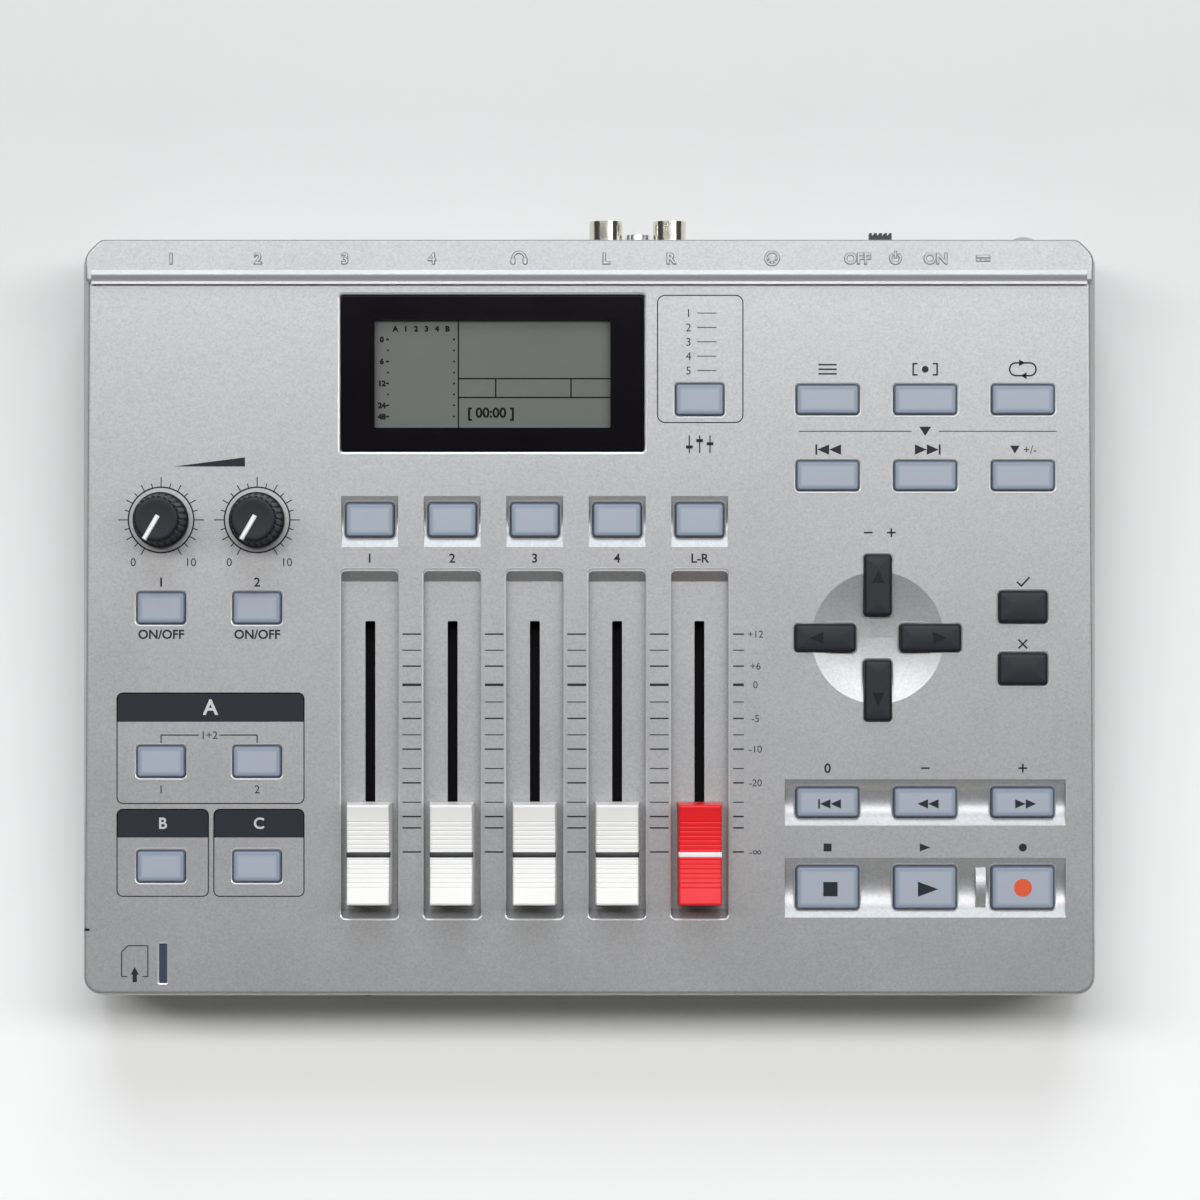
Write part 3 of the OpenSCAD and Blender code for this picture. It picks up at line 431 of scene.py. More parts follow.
CAP_WHITE = Finish(
    "grip_white", (236, 235, 232), 0.42, specular=0.35, grain=0.12, soil=0.025, soil_scale=90
)
CAP_RED = Finish("grip_red", (231, 32, 40), 0.42, specular=0.3, grain=0.12, soil_scale=90)
MARK_BLACK = Finish("marker_black", (40, 41, 47), 0.45, grain=0.15)
MARK_WHITE = Finish("marker_white", (238, 230, 230), 0.45, grain=0.15)
DIAL = Finish(
    "dial_black", (24, 27, 34), 0.44, specular=0.26, grain=0.25, grain_scale=2600, soil=0.08, soil_scale=120
)
POINTER = Finish("dial_pointer", (226, 228, 230), 0.3, coat=0.3)
# Lit keys: their edges are darkened by painted shade through the rim ramp.
KEY_LIT = RimShadeFinish("key_smoke_rim_shade", (159, 166, 178), 0.42, specular=0.35, grain=0.08, soil=0.03)
KEY_BLACK = Finish(
    "satin_black", (33, 35, 41), 0.45, specular=0.25, grain=0.22, grain_scale=2600, soil=0.06, soil_scale=90
)
KEY_SIGN = Finish("key_sign", (14, 14, 18), 0.4, specular=0.2, soil=0.05)
INSULATOR_WHITE = Finish("insulator_white", (236, 234, 228), 0.4, grain=0.1)
INSULATOR_RED = Finish("insulator_red", (196, 34, 38), 0.4, grain=0.1)
# Painted light: the floor's colour falls from the front to the rear.
PAPER = ShadedPaperFinish(
    "floor_paper_falloff", (252, 252, 251), 0.9, specular=0.1, grain=0.25, grain_scale=260, soil=0.02, soil_scale=6
)

NODE_FINISHES = {
    SILVER: ["top_cover", "card_door"],
    SILVER_LOW: ["bottom_case", "battery_cover", "rear_panel"],
    BLACK_PANEL: ["power_slider", "midi_socket", "dc_socket", "phone_jacks"],
    BOARD: ["panel_board", "main_board"],
    SWITCH: ["tact_switches", "fader_bodies"],
    STEEL: ["lcd_module", "dial_pots", "power_switch", "card_socket", "case_screws"],
    NICKEL: ["battery_contacts", "phono_jacks"],
    LIGHT: ["access_light"],
    RUBBER: ["rubber_feet"],
}


def middle(*nodes: str) -> np.ndarray:
    """Returns the middle in x and y of the box round one or more nodes."""
    boxes = np.array([[corner[:2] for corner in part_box(node)] for node in nodes])
    return (boxes[:, 0].min(axis=0) + boxes[:, 1].max(axis=0)) / 2


def footprint(node: str) -> np.ndarray:
    """Returns the width and depth of a node."""
    low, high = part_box(node)
    return np.array([high.x - low.x, high.y - low.y])


def bow(chord: float, sag: float) -> float:
    """Returns the radius of a circle that is sag deep over a chord."""
    return (chord**2 / 4 + sag**2) / (2 * sag)


def quarter(radius: float, steps: int) -> tuple[np.ndarray, np.ndarray]:
    """Returns how far a quarter-round edge's points lie in from its side, and how far below its top."""
    turn = np.linspace(0, math.pi / 2, steps)
    return radius * (1 - np.cos(turn)), radius * (1 - np.sin(turn))


def at_height(outline: np.ndarray, height: float | np.ndarray) -> np.ndarray:
    """Returns the points of a flat outline at one height, or at a height for each point."""
    return np.column_stack([outline, np.broadcast_to(height, len(outline))])


@dataclass
class Shape:
    """A mesh as whole arrays: points, the point of each face corner, and each face's count of corners."""

    points: np.ndarray
    corners: np.ndarray
    sides: np.ndarray
    values: np.ndarray | None = None

    @staticmethod
    def loft(rings: np.ndarray, wrap: bool = False, values: np.ndarray | None = None) -> "Shape":
        """Carries a closed outline along a path: quads join each ring to the next.

        Args:
            rings: array of k rings of n points, counter-clockwise seen from the path's end.
            wrap: joins the last ring to the first instead of closing both with a face.
            values: one number for each ring, kept on its points.

        Returns:
            The closed surface.
        """
        k, n, _ = rings.shape
        steps = np.arange(k if wrap else k - 1)[:, None]
        i = np.arange(n)[None, :]
        j = (i + 1) % n
        up = (steps + 1) % k
        quads = np.stack([steps * n + i, steps * n + j, up * n + j, up * n + i], axis=-1).reshape(-1)
        sides = np.full(quads.size // 4, 4)
        if not wrap:
            ends = np.concatenate([np.arange(n)[::-1], (k - 1) * n + np.arange(n)])
            quads = np.concatenate([quads, ends])
            sides = np.concatenate([sides, [n, n]])
        spread = None if values is None else np.repeat(np.asarray(values, float), n)
        return Shape(rings.reshape(-1, 3), quads, sides, spread)

    @staticmethod
    def stacked(levels: list[tuple], wrap: bool = False, values: np.ndarray | None = None) -> "Shape":
        """Returns the loft through flat outlines, each given with its height."""
        return Shape.loft(np.stack([at_height(outline, z) for outline, z in levels]), wrap, values)

    @staticmethod
    def slab(outline: np.ndarray, low: float, high: float) -> "Shape":
        """Returns a flat counter-clockwise outline raised from one height to another."""
        return Shape.stacked([(outline, low), (outline, high)])

    @staticmethod
    def join(shapes: list["Shape"]) -> "Shape":
        """Puts several shapes into one mesh.

        Args:
            shapes: the shapes to join.

        Returns:
            One shape with all their faces.
        """
        starts = np.cumsum([0] + [len(s.points) for s in shapes[:-1]])
        return Shape(
            np.concatenate([s.points for s in shapes]),
            np.concatenate([s.corners + start for s, start in zip(shapes, starts)]),
            np.concatenate([s.sides for s in shapes]),
        )

    def moved(self, x: float = 0.0, y: float = 0.0, z: float = 0.0) -> "Shape":
        """Returns the shape shifted by x, y and z."""
        return replace(self, points=self.points + np.array([x, y, z]))

    def placed(
        self,
        name: str,
        finish: Finish,
        body: str = "case",
        slot: str = "silver",
        smooth: float | None = 35.0,
    ) -> bpy.types.Object:
        """Makes the object, gives it its finish and lets it ride on a body.

        Args:
            name: the piece's name.
            finish: its finish.
            body: the body it rides on.
            slot: not used.
            smooth: edges sharper than this many degrees stay sharp; None keeps every face flat.

        Returns:
            The new object.
        """
        mesh = bpy.data.meshes.new(name)
        mesh.vertices.add(len(self.points))
        mesh.vertices.foreach_set("co", self.points.astype(np.float32).ravel())
        mesh.loops.add(len(self.corners))
        mesh.loops.foreach_set("vertex_index", self.corners.astype(np.int32))
        mesh.polygons.add(len(self.sides))
        starts = np.concatenate([[0], np.cumsum(self.sides)[:-1]])
        mesh.polygons.foreach_set("loop_start", starts.astype(np.int32))
        mesh.update(calc_edges=True)
        if self.values is not None:
            layer = mesh.attributes.new("inset", "FLOAT", "POINT")
            layer.data.foreach_set("value", self.values.astype(np.float32))
        mesh.validate()
        mesh.polygons.foreach_set("use_smooth", np.full(len(mesh.polygons), smooth is not None))
        if smooth is not None:
            mesh.set_sharp_from_angle(angle=math.radians(smooth))
        piece = bpy.data.objects.new(name, mesh)
        bpy.context.scene.collection.objects.link(piece)
        mesh.materials.append(finish.material())
        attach(piece, body)
        LOG.info("%s: %d points, %d faces, on %s", name, len(self.points), len(self.sides), body)
        return piece


def round_rect(width: float, depth: float, radius: float, steps: int = 6) -> np.ndarray:
    """Outline of a rectangle about the origin, with a quarter circle at each corner.

    Args:
        width: size along x.
        depth: size along y.
        radius: corner radius.
        steps: points in each corner arc.

    Returns:
        Four times steps points, counter-clockwise from the right end of the rear side.
    """
    turns = np.linspace(0, math.pi / 2, steps)[None, :] + np.arange(4)[:, None] * math.pi / 2
    signs = np.array([[1, 1], [-1, 1], [-1, -1], [1, -1]])
    centres = signs * np.array([width / 2 - radius, depth / 2 - radius])
    arcs = centres[:, None, :] + radius * np.stack([np.cos(turns), np.sin(turns)], axis=-1)
    return arcs.reshape(-1, 2)


def arch(start: float, end: float, steps: int) -> np.ndarray:
    """Returns points on the unit circle from one angle to another, in degrees."""
    turn = np.radians(np.linspace(start, end, steps))
    return np.stack([np.cos(turn), np.sin(turn)], axis=-1)


def circle(radius: float, steps: int = 64) -> np.ndarray:
    """Returns points round a circle about the origin, counter-clockwise."""
    turn = np.arange(steps) * 2 * math.pi / steps
    return radius * np.stack([np.cos(turn), np.sin(turn)], axis=-1)


def triangle(x: float, y: float, length: float, height: float, turn: float = 0.0) -> np.ndarray:
    """Outline of an isosceles triangle that points along +X before it is turned.

    Args:
        x: middle of the triangle along x.
        y: middle of the triangle along y.
        length: from its base to its tip.
        height: breadth of its base.
        turn: angle in degrees.

    Returns:
        Three points, counter-clockwise.
    """
    base = np.array([[length / 2, 0], [-length / 2, height / 2], [-length / 2, -height / 2]])
    c, s = math.cos(math.radians(turn)), math.sin(math.radians(turn))
    return base @ np.array([[c, s], [-s, c]]) + np.array([x, y])


def rectangle(x0: float, y0: float, x1: float, y1: float) -> np.ndarray:
    """Returns the four corners of an upright rectangle, counter-clockwise."""
    return np.array([[x0, y0], [x1, y0], [x1, y1], [x0, y1]])


def outset(outline: np.ndarray, width: float) -> np.ndarray:
    """Moves every side of a closed outline outward: each corner along the mean of its two side normals.

    Args:
        outline: n points of x and y, counter-clockwise.
        width: how far the sides move.

    Returns:
        The wider outline.
    """
    ahead = np.roll(outline, -1, axis=0) - outline
    normal = np.stack([ahead[:, 1], -ahead[:, 0]], axis=-1) / np.linalg.norm(ahead, axis=1, keepdims=True)
    mean = normal + np.roll(normal, 1, axis=0)
    return outline + width * mean / np.maximum(np.sum(mean * normal, axis=1, keepdims=True), 0.5)


def symbol_outlines(symbol: Symbol, x: float, y: float, size: float) -> list[np.ndarray]:
    """Draws a transport sign as flat outlines.

    Args:
        symbol: which sign.
        x: its middle along x.
        y: its middle along y.
        size: its height.

    Returns:
        The outlines that make up the sign.
    """
    long, bar, half = size * 1.15, size * 0.18, size / 2
    if symbol is Symbol.STOP:
        return [rectangle(x - half, y - half, x + half, y + half)]
    if symbol is Symbol.RECORD:
        return [circle(half, 40) + np.array([x, y])]
    if symbol is Symbol.PLAY:
        return [triangle(x, y, size * 1.35, size)]
    way = 180.0 if symbol in (Symbol.REWIND, Symbol.TO_START) else 0.0
    signs = [triangle(x + s * long / 2, y, long, size, way) for s in (-1, 1)]
    if symbol is Symbol.TO_START:
        signs.append(rectangle(x - long - bar, y - half, x - long, y + half))
    if symbol is Symbol.TO_END:
        signs.append(rectangle(x + long, y - half, x + long + bar, y + half))
    return signs


def lettering(words: str, height: float, thick: float, weight: float = 0.0, bevel: float = 0.0) -> Shape:
    """Sets figures and letters in the built-in face, centred on the origin.

    Args:
        words: what is set.
        height: height of a capital.
        thick: thickness of the letters.
        weight: how far the strokes grow, as a share of the height.
        bevel: breadth and height of the slope round each stroke.

    Returns:
        The letters from height 0 up to their thickness.
    """
    capital = 0.69
    curve = bpy.data.curves.new("lettering", "FONT")
    curve.body = words
    curve.size = height / capital
    curve.align_x = "CENTER"
    curve.extrude = thick / 2
    curve.offset = weight * height
    curve.bevel_depth = bevel
    curve.bevel_resolution = 0
    curve.resolution_u = 4
    holder = bpy.data.objects.new("lettering", curve)
    bpy.context.scene.collection.objects.link(holder)
    bpy.context.view_layer.update()
    mesh = bpy.data.meshes.new_from_object(holder.evaluated_get(bpy.context.evaluated_depsgraph_get()))
    merged = bmesh.new()
    merged.from_mesh(mesh)
    bmesh.ops.remove_doubles(merged, verts=merged.verts, dist=1e-7)
    merged.to_mesh(mesh)
    merged.free()
    points = np.empty(len(mesh.vertices) * 3)
    mesh.vertices.foreach_get("co", points)
    corners = np.empty(len(mesh.loops), np.int32)
    mesh.loops.foreach_get("vertex_index", corners)
    sides = np.empty(len(mesh.polygons), np.int32)
    mesh.polygons.foreach_get("loop_total", sides)
    bpy.data.objects.remove(holder)
    bpy.data.curves.remove(curve)
    bpy.data.meshes.remove(mesh)
    return Shape(points.reshape(-1, 3), corners, sides).moved(0, -height / 2, thick / 2)


@dataclass
class Ink:
    """Collects flat print on one level and makes it one piece, drawn in millimetres from an origin."""

    name: str
    level: float
    finish: Finish = INK
    body: str = "case"
    slot: str = "silver"
    origin: np.ndarray = field(default_factory=lambda: np.zeros(2))
    shapes: list[Shape] = field(default_factory=list)

    def at(self, *nodes: str) -> "Ink":
        """Returns a pen that adds to the same print from the middle of some nodes."""
        return replace(self, origin=middle(*nodes))

    def fill(self, *outlines: np.ndarray) -> None:
        """Prints closed outlines."""
        low, high = self.level - INK_SINK, self.level + INK_THICKNESS
        self.shapes += [Shape.slab(outline * MM + self.origin, low, high) for outline in outlines]

    def ring(self, outer: np.ndarray, inner: np.ndarray) -> None:
        """Prints the ring between two outlines with as many points each.

        Args:
            outer: the outer outline, counter-clockwise.
            inner: the inner outline, counter-clockwise.
        """
        low, high = self.level - INK_SINK, self.level + INK_THICKNESS
        outer, inner = outer * MM + self.origin, inner * MM + self.origin
        path = [(outer, low), (outer, high), (inner, high), (inner, low)]
        self.shapes.append(Shape.stacked(path, wrap=True))

    def line(self, x0: float, y0: float, x1: float, y1: float, width: float) -> None:
        """Prints a straight line.

        Args:
            x0: start along x.
            y0: start along y.
            x1: end along x.
            y1: end along y.
            width: breadth of the line.
        """
        a, b = np.array([x0, y0]), np.array([x1, y1])
        along = (b - a) / np.linalg.norm(b - a)
        side = np.array([-along[1], along[0]]) * width / 2
        self.fill(np.array([a - side, b - side, b + side, a + side]))

    def box(self, x0: float, y0: float, x1: float, y1: float, radius: float, width: float) -> None:
        """Prints the outline of a box with rounded corners.

        Args:
            x0: left side.
            y0: front side.
            x1: right side.
            y1: rear side.
            radius: corner radius.
            width: breadth of the line.
        """
        shift = np.array([(x0 + x1) / 2, (y0 + y1) / 2])
        inner = round_rect(x1 - x0 - 2 * width, y1 - y0 - 2 * width, radius - width)
        self.ring(round_rect(x1 - x0, y1 - y0, radius) + shift, inner + shift)

    def words(self, text: str, x: float, y: float, height: float, weight: float = 0.0) -> None:
        """Prints letters centred on x and y, with strokes that grow by a share of the capital height."""
        shape = lettering(text, height * MM, INK_THICKNESS + INK_SINK, weight)
        self.shapes.append(shape.moved(*(self.origin + np.array([x, y]) * MM), self.level - INK_SINK))

    def plus_minus(self, x: float, y: float, plus: bool) -> None:
        """Prints a minus, or a plus, centred on a place.

        Args:
            x: middle along x.
            y: middle along y.
            plus: whether the upright is there too.
        """
        half, width = 1.1, 0.42
        self.line(x - half, y, x + half, y, width)
        if plus:
            self.line(x, y - half, x, y + half, width)

    def placed(self) -> bpy.types.Object:
        """Returns all that was collected as one piece."""
        return Shape.join(self.shapes).placed(self.name, self.finish, self.body, self.slot, smooth=None)


@dataclass
class Deck:
    """The deck's own form: where its scoops and dish lie, and the rounded lips of its openings."""

    lip_out: float = 0.45 * MM
    lip_in: float = 0.02 * MM
    lip_rise: float = 0.14 * MM
    lip_drop: float = 0.5 * MM
    lip_wall: float = 0.05 * MM
    lip_sink: float = 0.02 * MM
    lip_ground: float = 0.3 * MM
    lip_smooth: float = 60.0
    key_corner: float = 1.0 * MM
    pocket_corner: float = 1.2 * MM
    window_gap: float = 0.45 * MM
    window_corner: float = 0.9 * MM
    window_out: float = 0.6 * MM
    window_drop: float = 0.45 * MM
    light_flange: tuple[float, float] = (2.0 * MM, 0.8 * MM)
    light_corner: float = 0.25 * MM
    fader_travel: float = 54.7 * MM
    pocket: tuple[float, float] = (14.3 * MM, 87.6 * MM)
    strip_depth: float = 11.3 * MM
    strip_inset: float = 3.0 * MM
    edging_steps: int = 9
    edging_points: np.ndarray = field(
        default_factory=lambda: np.array([[3.1, 1.705], [2.05, 2.02], [0.16, 1.67], [-0.38, 1.80]])
    )
    edging_wall: np.ndarray = field(
        default_factory=lambda: np.array([[-0.46, 1.70], [-0.30, -0.10], [1.0, -0.10], [3.1, 1.60]])
    )
    dish_radius: float = 16.6 * MM
    dish_sag: float = 1.5 * MM
    scoop_sag: float = 1.8 * MM
    scoop_width: float = 70.5 * MM
    scoop_depths: tuple[float, float] = (11.6 * MM, 15.0 * MM)
    track_scoop: tuple[float, float] = (14.3 * MM, 12.8 * MM)
    track_shift: float = 0.4 * MM
    # Place of the pale line of painted light at the strip's foot.
    foot_reach: tuple[float, float] = (1.05 * MM, 0.20 * MM)
    foot_rise: float = 0.04 * MM
    foot_sink: float = 0.05 * MM
    # Place and depth of the dark block of painted shade in the door's notch.
    seam_x: tuple[float, float] = (1.45 * MM, 2.55 * MM)
    seam_y: tuple[float, float] = (0.06 * MM, 0.64 * MM)
    seam_depth: float = 1.0 * MM

    def height(self, x: np.ndarray, y: np.ndarray) -> np.ndarray:
        """Height of the deck: level, but lower inside the cylinder scoops and the spherical dish.

        Args:
            x: places along x.
            y: places along y.

        Returns:
            The height at each place.
        """
        z = np.full(np.shape(x), DECK)
        hollows = [(middle(*row), self.scoop_width, d) for row, d in zip(RUN_ROWS, self.scoop_depths)]
        hollows += [(middle(k) - np.array([0, self.track_shift]), *self.track_scoop) for k in TRACK_KEYS]
        for (cx, cy), width, depth in hollows:
            r = bow(depth, self.scoop_sag)
            inside = (np.abs(x - cx) < width / 2) & (np.abs(y - cy) < depth / 2)
            sunk = DECK + r - self.scoop_sag - np.sqrt(np.maximum(r**2 - (y - cy) ** 2, 0))
            z = np.where(inside, sunk, z)
        cx, cy = middle(*CURSOR_TURNS)
        r = bow(2 * self.dish_radius, self.dish_sag)
        away = (x - cx) ** 2 + (y - cy) ** 2
        sunk = DECK + r - self.dish_sag - np.sqrt(np.maximum(r**2 - away, 0))
        return np.where(away < self.dish_radius**2, sunk, z)

    def lip(
        self, node: str, size: np.ndarray, radius: float, out: float, drop: float, shift: float = 0.0
    ) -> Shape:
        """Lip of an opening: a low roll beside the hole that slopes down to the hole's edge and into it.

        The profile is carried round the opening's outline and laid on the deck's own height.

        Args:
            node: the piece in the opening.
            size: width and depth of the opening.
            radius: its corner radius.
            out: how far the lip reaches over the deck.
            drop: how far it reaches down into the hole.
            shift: how far the opening's middle lies behind the node's.

        Returns:
            The lip.
        """
        share = np.array([1.0, 0.97, 0.92, 0.86, 0.78, 0.05])
        slope = np.array([0.2, 0.75, 0.98, 1.0, 0.93, 0.04])
        reach = np.concatenate([out * share, [-self.lip_in, -self.lip_in, self.lip_wall, out]])
        over = self.lip_rise * slope * out / self.lip_out
        rise = np.concatenate([over, [-self.lip_in, -drop, -drop, -self.lip_sink]])
        place = middle(node) + np.array([0, shift])
        base = round_rect(*(size + self.lip_ground), radius, 8) + place
        lines = [round_rect(*(size + 2 * r), radius + r, 8) + place for r in reach]
        levels = [(line, self.height(base[:, 0], line[:, 1]) + h) for line, h in zip(lines, rise)]
        return Shape.stacked(levels, wrap=True)

    def edging(self) -> Shape:
        """Rear strip's front edge: a low bead, a slope down to a valley, and a fine ridge above the step.

        Half waves of a cosine join the points of the profile, which is carried straight across the deck and
        drawn in at both ends.

        Returns:
            The edging.
        """
        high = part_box("top_cover")[1]
        t = np.linspace(0, 1, self.edging_steps)[1:, None]
        ease = np.concatenate([t, (1 - np.cos(math.pi * t)) / 2], axis=1)
        points = self.edging_points
        curves = [start + (end - start) * ease for start, end in zip(points, points[1:])]
        profile = np.concatenate([points[:1], *curves, self.edging_wall]) * MM
        ends = np.array([-1.0, -0.998, 0.998, 1.0]) * (high.x - self.strip_inset)
        shrink = np.array([0.6, 1.0, 1.0, 0.6])
        x, y = np.broadcast_arrays(ends[:, None], high.y - self.strip_depth + profile[:, 0])
        z = DECK + profile[:, 1] * shrink[:, None]
        return Shape.loft(np.stack([x, y, z], axis=-1)[:, ::-1])

    def painted_strip_foot_light(self) -> Shape:
        """Pale flat line on the deck at the foot of the strip's step: painted light over the shadow that
        the step casts.

        Returns:
            The line.
        """
        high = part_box("top_cover")[1]
        half, y = high.x - self.strip_inset, high.y - self.strip_depth
        front, rear = self.foot_reach
        outline = rectangle(-half, y - front, half, y - rear)
        return Shape.slab(outline, DECK - self.foot_sink, DECK + self.foot_rise)

    def door_notch_shade(self) -> Shape:
        """Dark block over the rear end of the card door's wing, inward from the notch in the edge: painted
        shade where the notch is dark from its depth.

        Returns:
            The block of painted shade.
        """
        left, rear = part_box("card_door")[0].x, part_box("card_door")[1].y
        (x0, x1), (y0, y1) = self.seam_x, self.seam_y
        outline = rectangle(left + x0, rear + y0, left + x1, rear + y1)
        return Shape.slab(outline, DECK - self.seam_depth, DECK + INK_THICKNESS)

    def build(self) -> None:
        """Makes the lips of all openings, the strip's edging, a pale line of painted light at the strip's
        foot and a dark block of painted shade in the door's notch.
        """
        rim = 2 * (KEY_FLANGE - KEY_GAP)
        keys = [*SMALL_KEYS, *GRID_KEYS, *ENTRY_KEYS, *TRACK_KEYS, *RUN_SIGNS, *CURSOR_TURNS]
        window = footprint("display_window") + self.window_gap
        light = footprint("access_light") - np.array(self.light_flange)
        pocket, shift = np.array(self.pocket), self.fader_travel / 2
        usual = (self.lip_out, self.lip_drop)
        lips = {
            "opening_lips": [self.lip(key, footprint(key) - rim, self.key_corner, *usual) for key in keys],
            "pocket_lips": [self.lip(fader, pocket, self.pocket_corner, *usual, shift) for fader in FADERS],
            "window_lip": [
                self.lip("display_window", window, self.window_corner, self.window_out, self.window_drop)
            ],
            "light_lip": [self.lip("access_light", light, self.light_corner, *usual)],
        }
        for name, shapes in lips.items():
            # Lips in the lighter silver: painted highlight on their roll.
            Shape.join(shapes).placed(name, LIP_HIGHLIGHT, smooth=self.lip_smooth)
        self.edging().placed("strip_edging", RELIEF, smooth=40)
        # Pale line at the strip's foot: painted light over the step's shadow.
        self.painted_strip_foot_light().placed("painted_strip_foot_light", PAINTED_FOOT_LIGHT, smooth=None)
        # Dark block in the door's notch: painted shade.
        self.door_notch_shade().placed("door_notch_shade", SWITCH, smooth=None)


@dataclass
class Keys:
    """Press keys: a cap with a rounded edge and a flat face, in place of each plain key.

    The signs' heights and shift and the arrows' size are in millimetres, as Ink takes them.
    """

    skirt: float = 5.5 * MM
    swell: float = 0.2 * MM
    lit_edge: float = 0.75 * MM
    lit_crown: float = 0.02 * MM
    black_edge: float = 0.9 * MM
    black_crown: float = 0.12 * MM
    corner: float = 0.8 * MM
    corner_loss: float = 0.5
    least_corner: float = 0.15 * MM
    face_end: float = 0.2 * MM
    steps: int = 7
    value_span: float = 4 * MM
    tall_key: float = 11 * MM
    sign_height: float = 2.3
    tall_sign_height: float = 3.6
    sign_shift: tuple[float, float] = (0.7, -0.35)
    arrow_size: tuple[float, float] = (3.4, 3.1)
    arrow_place: float = 0.30
    arrow_depth: float = 0.3 * MM
    arrow_rise: float = 0.06 * MM

    def cap(self, node: str, edge: float, crown: float) -> Shape:
        """Cap of a key: its outline carried up, rounded over the edge by a quarter circle, then drawn in.

        Args:
            node: the key that the cap stands for.
            edge: radius of the rounded edge.
            crown: how far the middle of the face stands above its border.

        Returns:
            The cap, with its points' inset from the outline over 4 mm as their value.
        """
        size = footprint(node) - 2 * KEY_FLANGE + 2 * self.swell
        over, below = quarter(edge, self.steps)
        face = np.linspace(edge, size.min() / 2 - self.face_end, self.steps)[1:]
        inset = np.concatenate([[0], over, face])
        share = (face - edge) / (face[-1] - edge)
        rise = np.concatenate([[-self.skirt], -below, crown * np.sin(share * math.pi / 2)])
        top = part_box(node)[1].z - crown
        corners = np.maximum(self.corner - inset * self.corner_loss, self.least_corner)
        lines = [round_rect(*(size - 2 * i), r) + middle(node) for i, r in zip(inset, corners)]
        return Shape.stacked(list(zip(lines, top + rise)), values=inset / self.value_span)

    def build(self) -> None:
        """Makes every cap, its sign, and lets it stand for its node."""
        for node in [*SMALL_KEYS, *GRID_KEYS, *TRACK_KEYS, *RUN_SIGNS]:
            cap = self.cap(node, self.lit_edge, self.lit_crown)
            piece = cap.placed(f"{node}_cap", KEY_LIT, node, "key_lit")
            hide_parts(node)
        for node in [*CURSOR_TURNS, *ENTRY_KEYS]:
            cap = self.cap(node, self.black_edge, self.black_crown)
            piece = cap.placed(f"{node}_cap", KEY_BLACK, node, "key_black")
            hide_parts(node)
        for node, sign in RUN_SIGNS.items():
            self.sign(node, sign)
        for node, turn in CURSOR_TURNS.items():
            self.arrow(node, turn)

    def sign(self, node: str, sign: Symbol) -> None:
        """Prints a transport sign on a key.

        Args:
            node: the key.
            sign: its sign.
        """
        record = sign is Symbol.RECORD
        size = self.tall_sign_height if footprint(node)[1] > self.tall_key else self.sign_height
        grown = {Symbol.RECORD: 1.25, Symbol.PLAY: 1.05}.get(sign, 1.0)
        finish = ORANGE_INK if record else INK
        ink = Ink(f"{node}_sign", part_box(node)[1].z, finish, node, "key_lit").at(node)
        shift = (0.0, 0.0) if record else self.sign_shift
        ink.fill(*symbol_outlines(sign, *shift, size * grown))
        ink.placed()

    def arrow(self, node: str, turn: float) -> None:
        """Moulds a glossy triangle near the outer end of a cursor key.

        Args:
            node: the key.
            turn: direction of the triangle, in degrees from +X.
        """
        way = np.array([math.cos(math.radians(turn)), math.sin(math.radians(turn))])
        reach = (footprint(node).max() / 2 - KEY_FLANGE) * self.arrow_place
        outline = triangle(0, 0, *self.arrow_size, turn) * MM + middle(node) + way * reach
        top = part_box(node)[1].z
        shape = Shape.slab(outline, top - self.arrow_depth, top + self.arrow_rise)
        shape.placed(f"{node}_arrow", KEY_SIGN, node, "key_black", smooth=None)


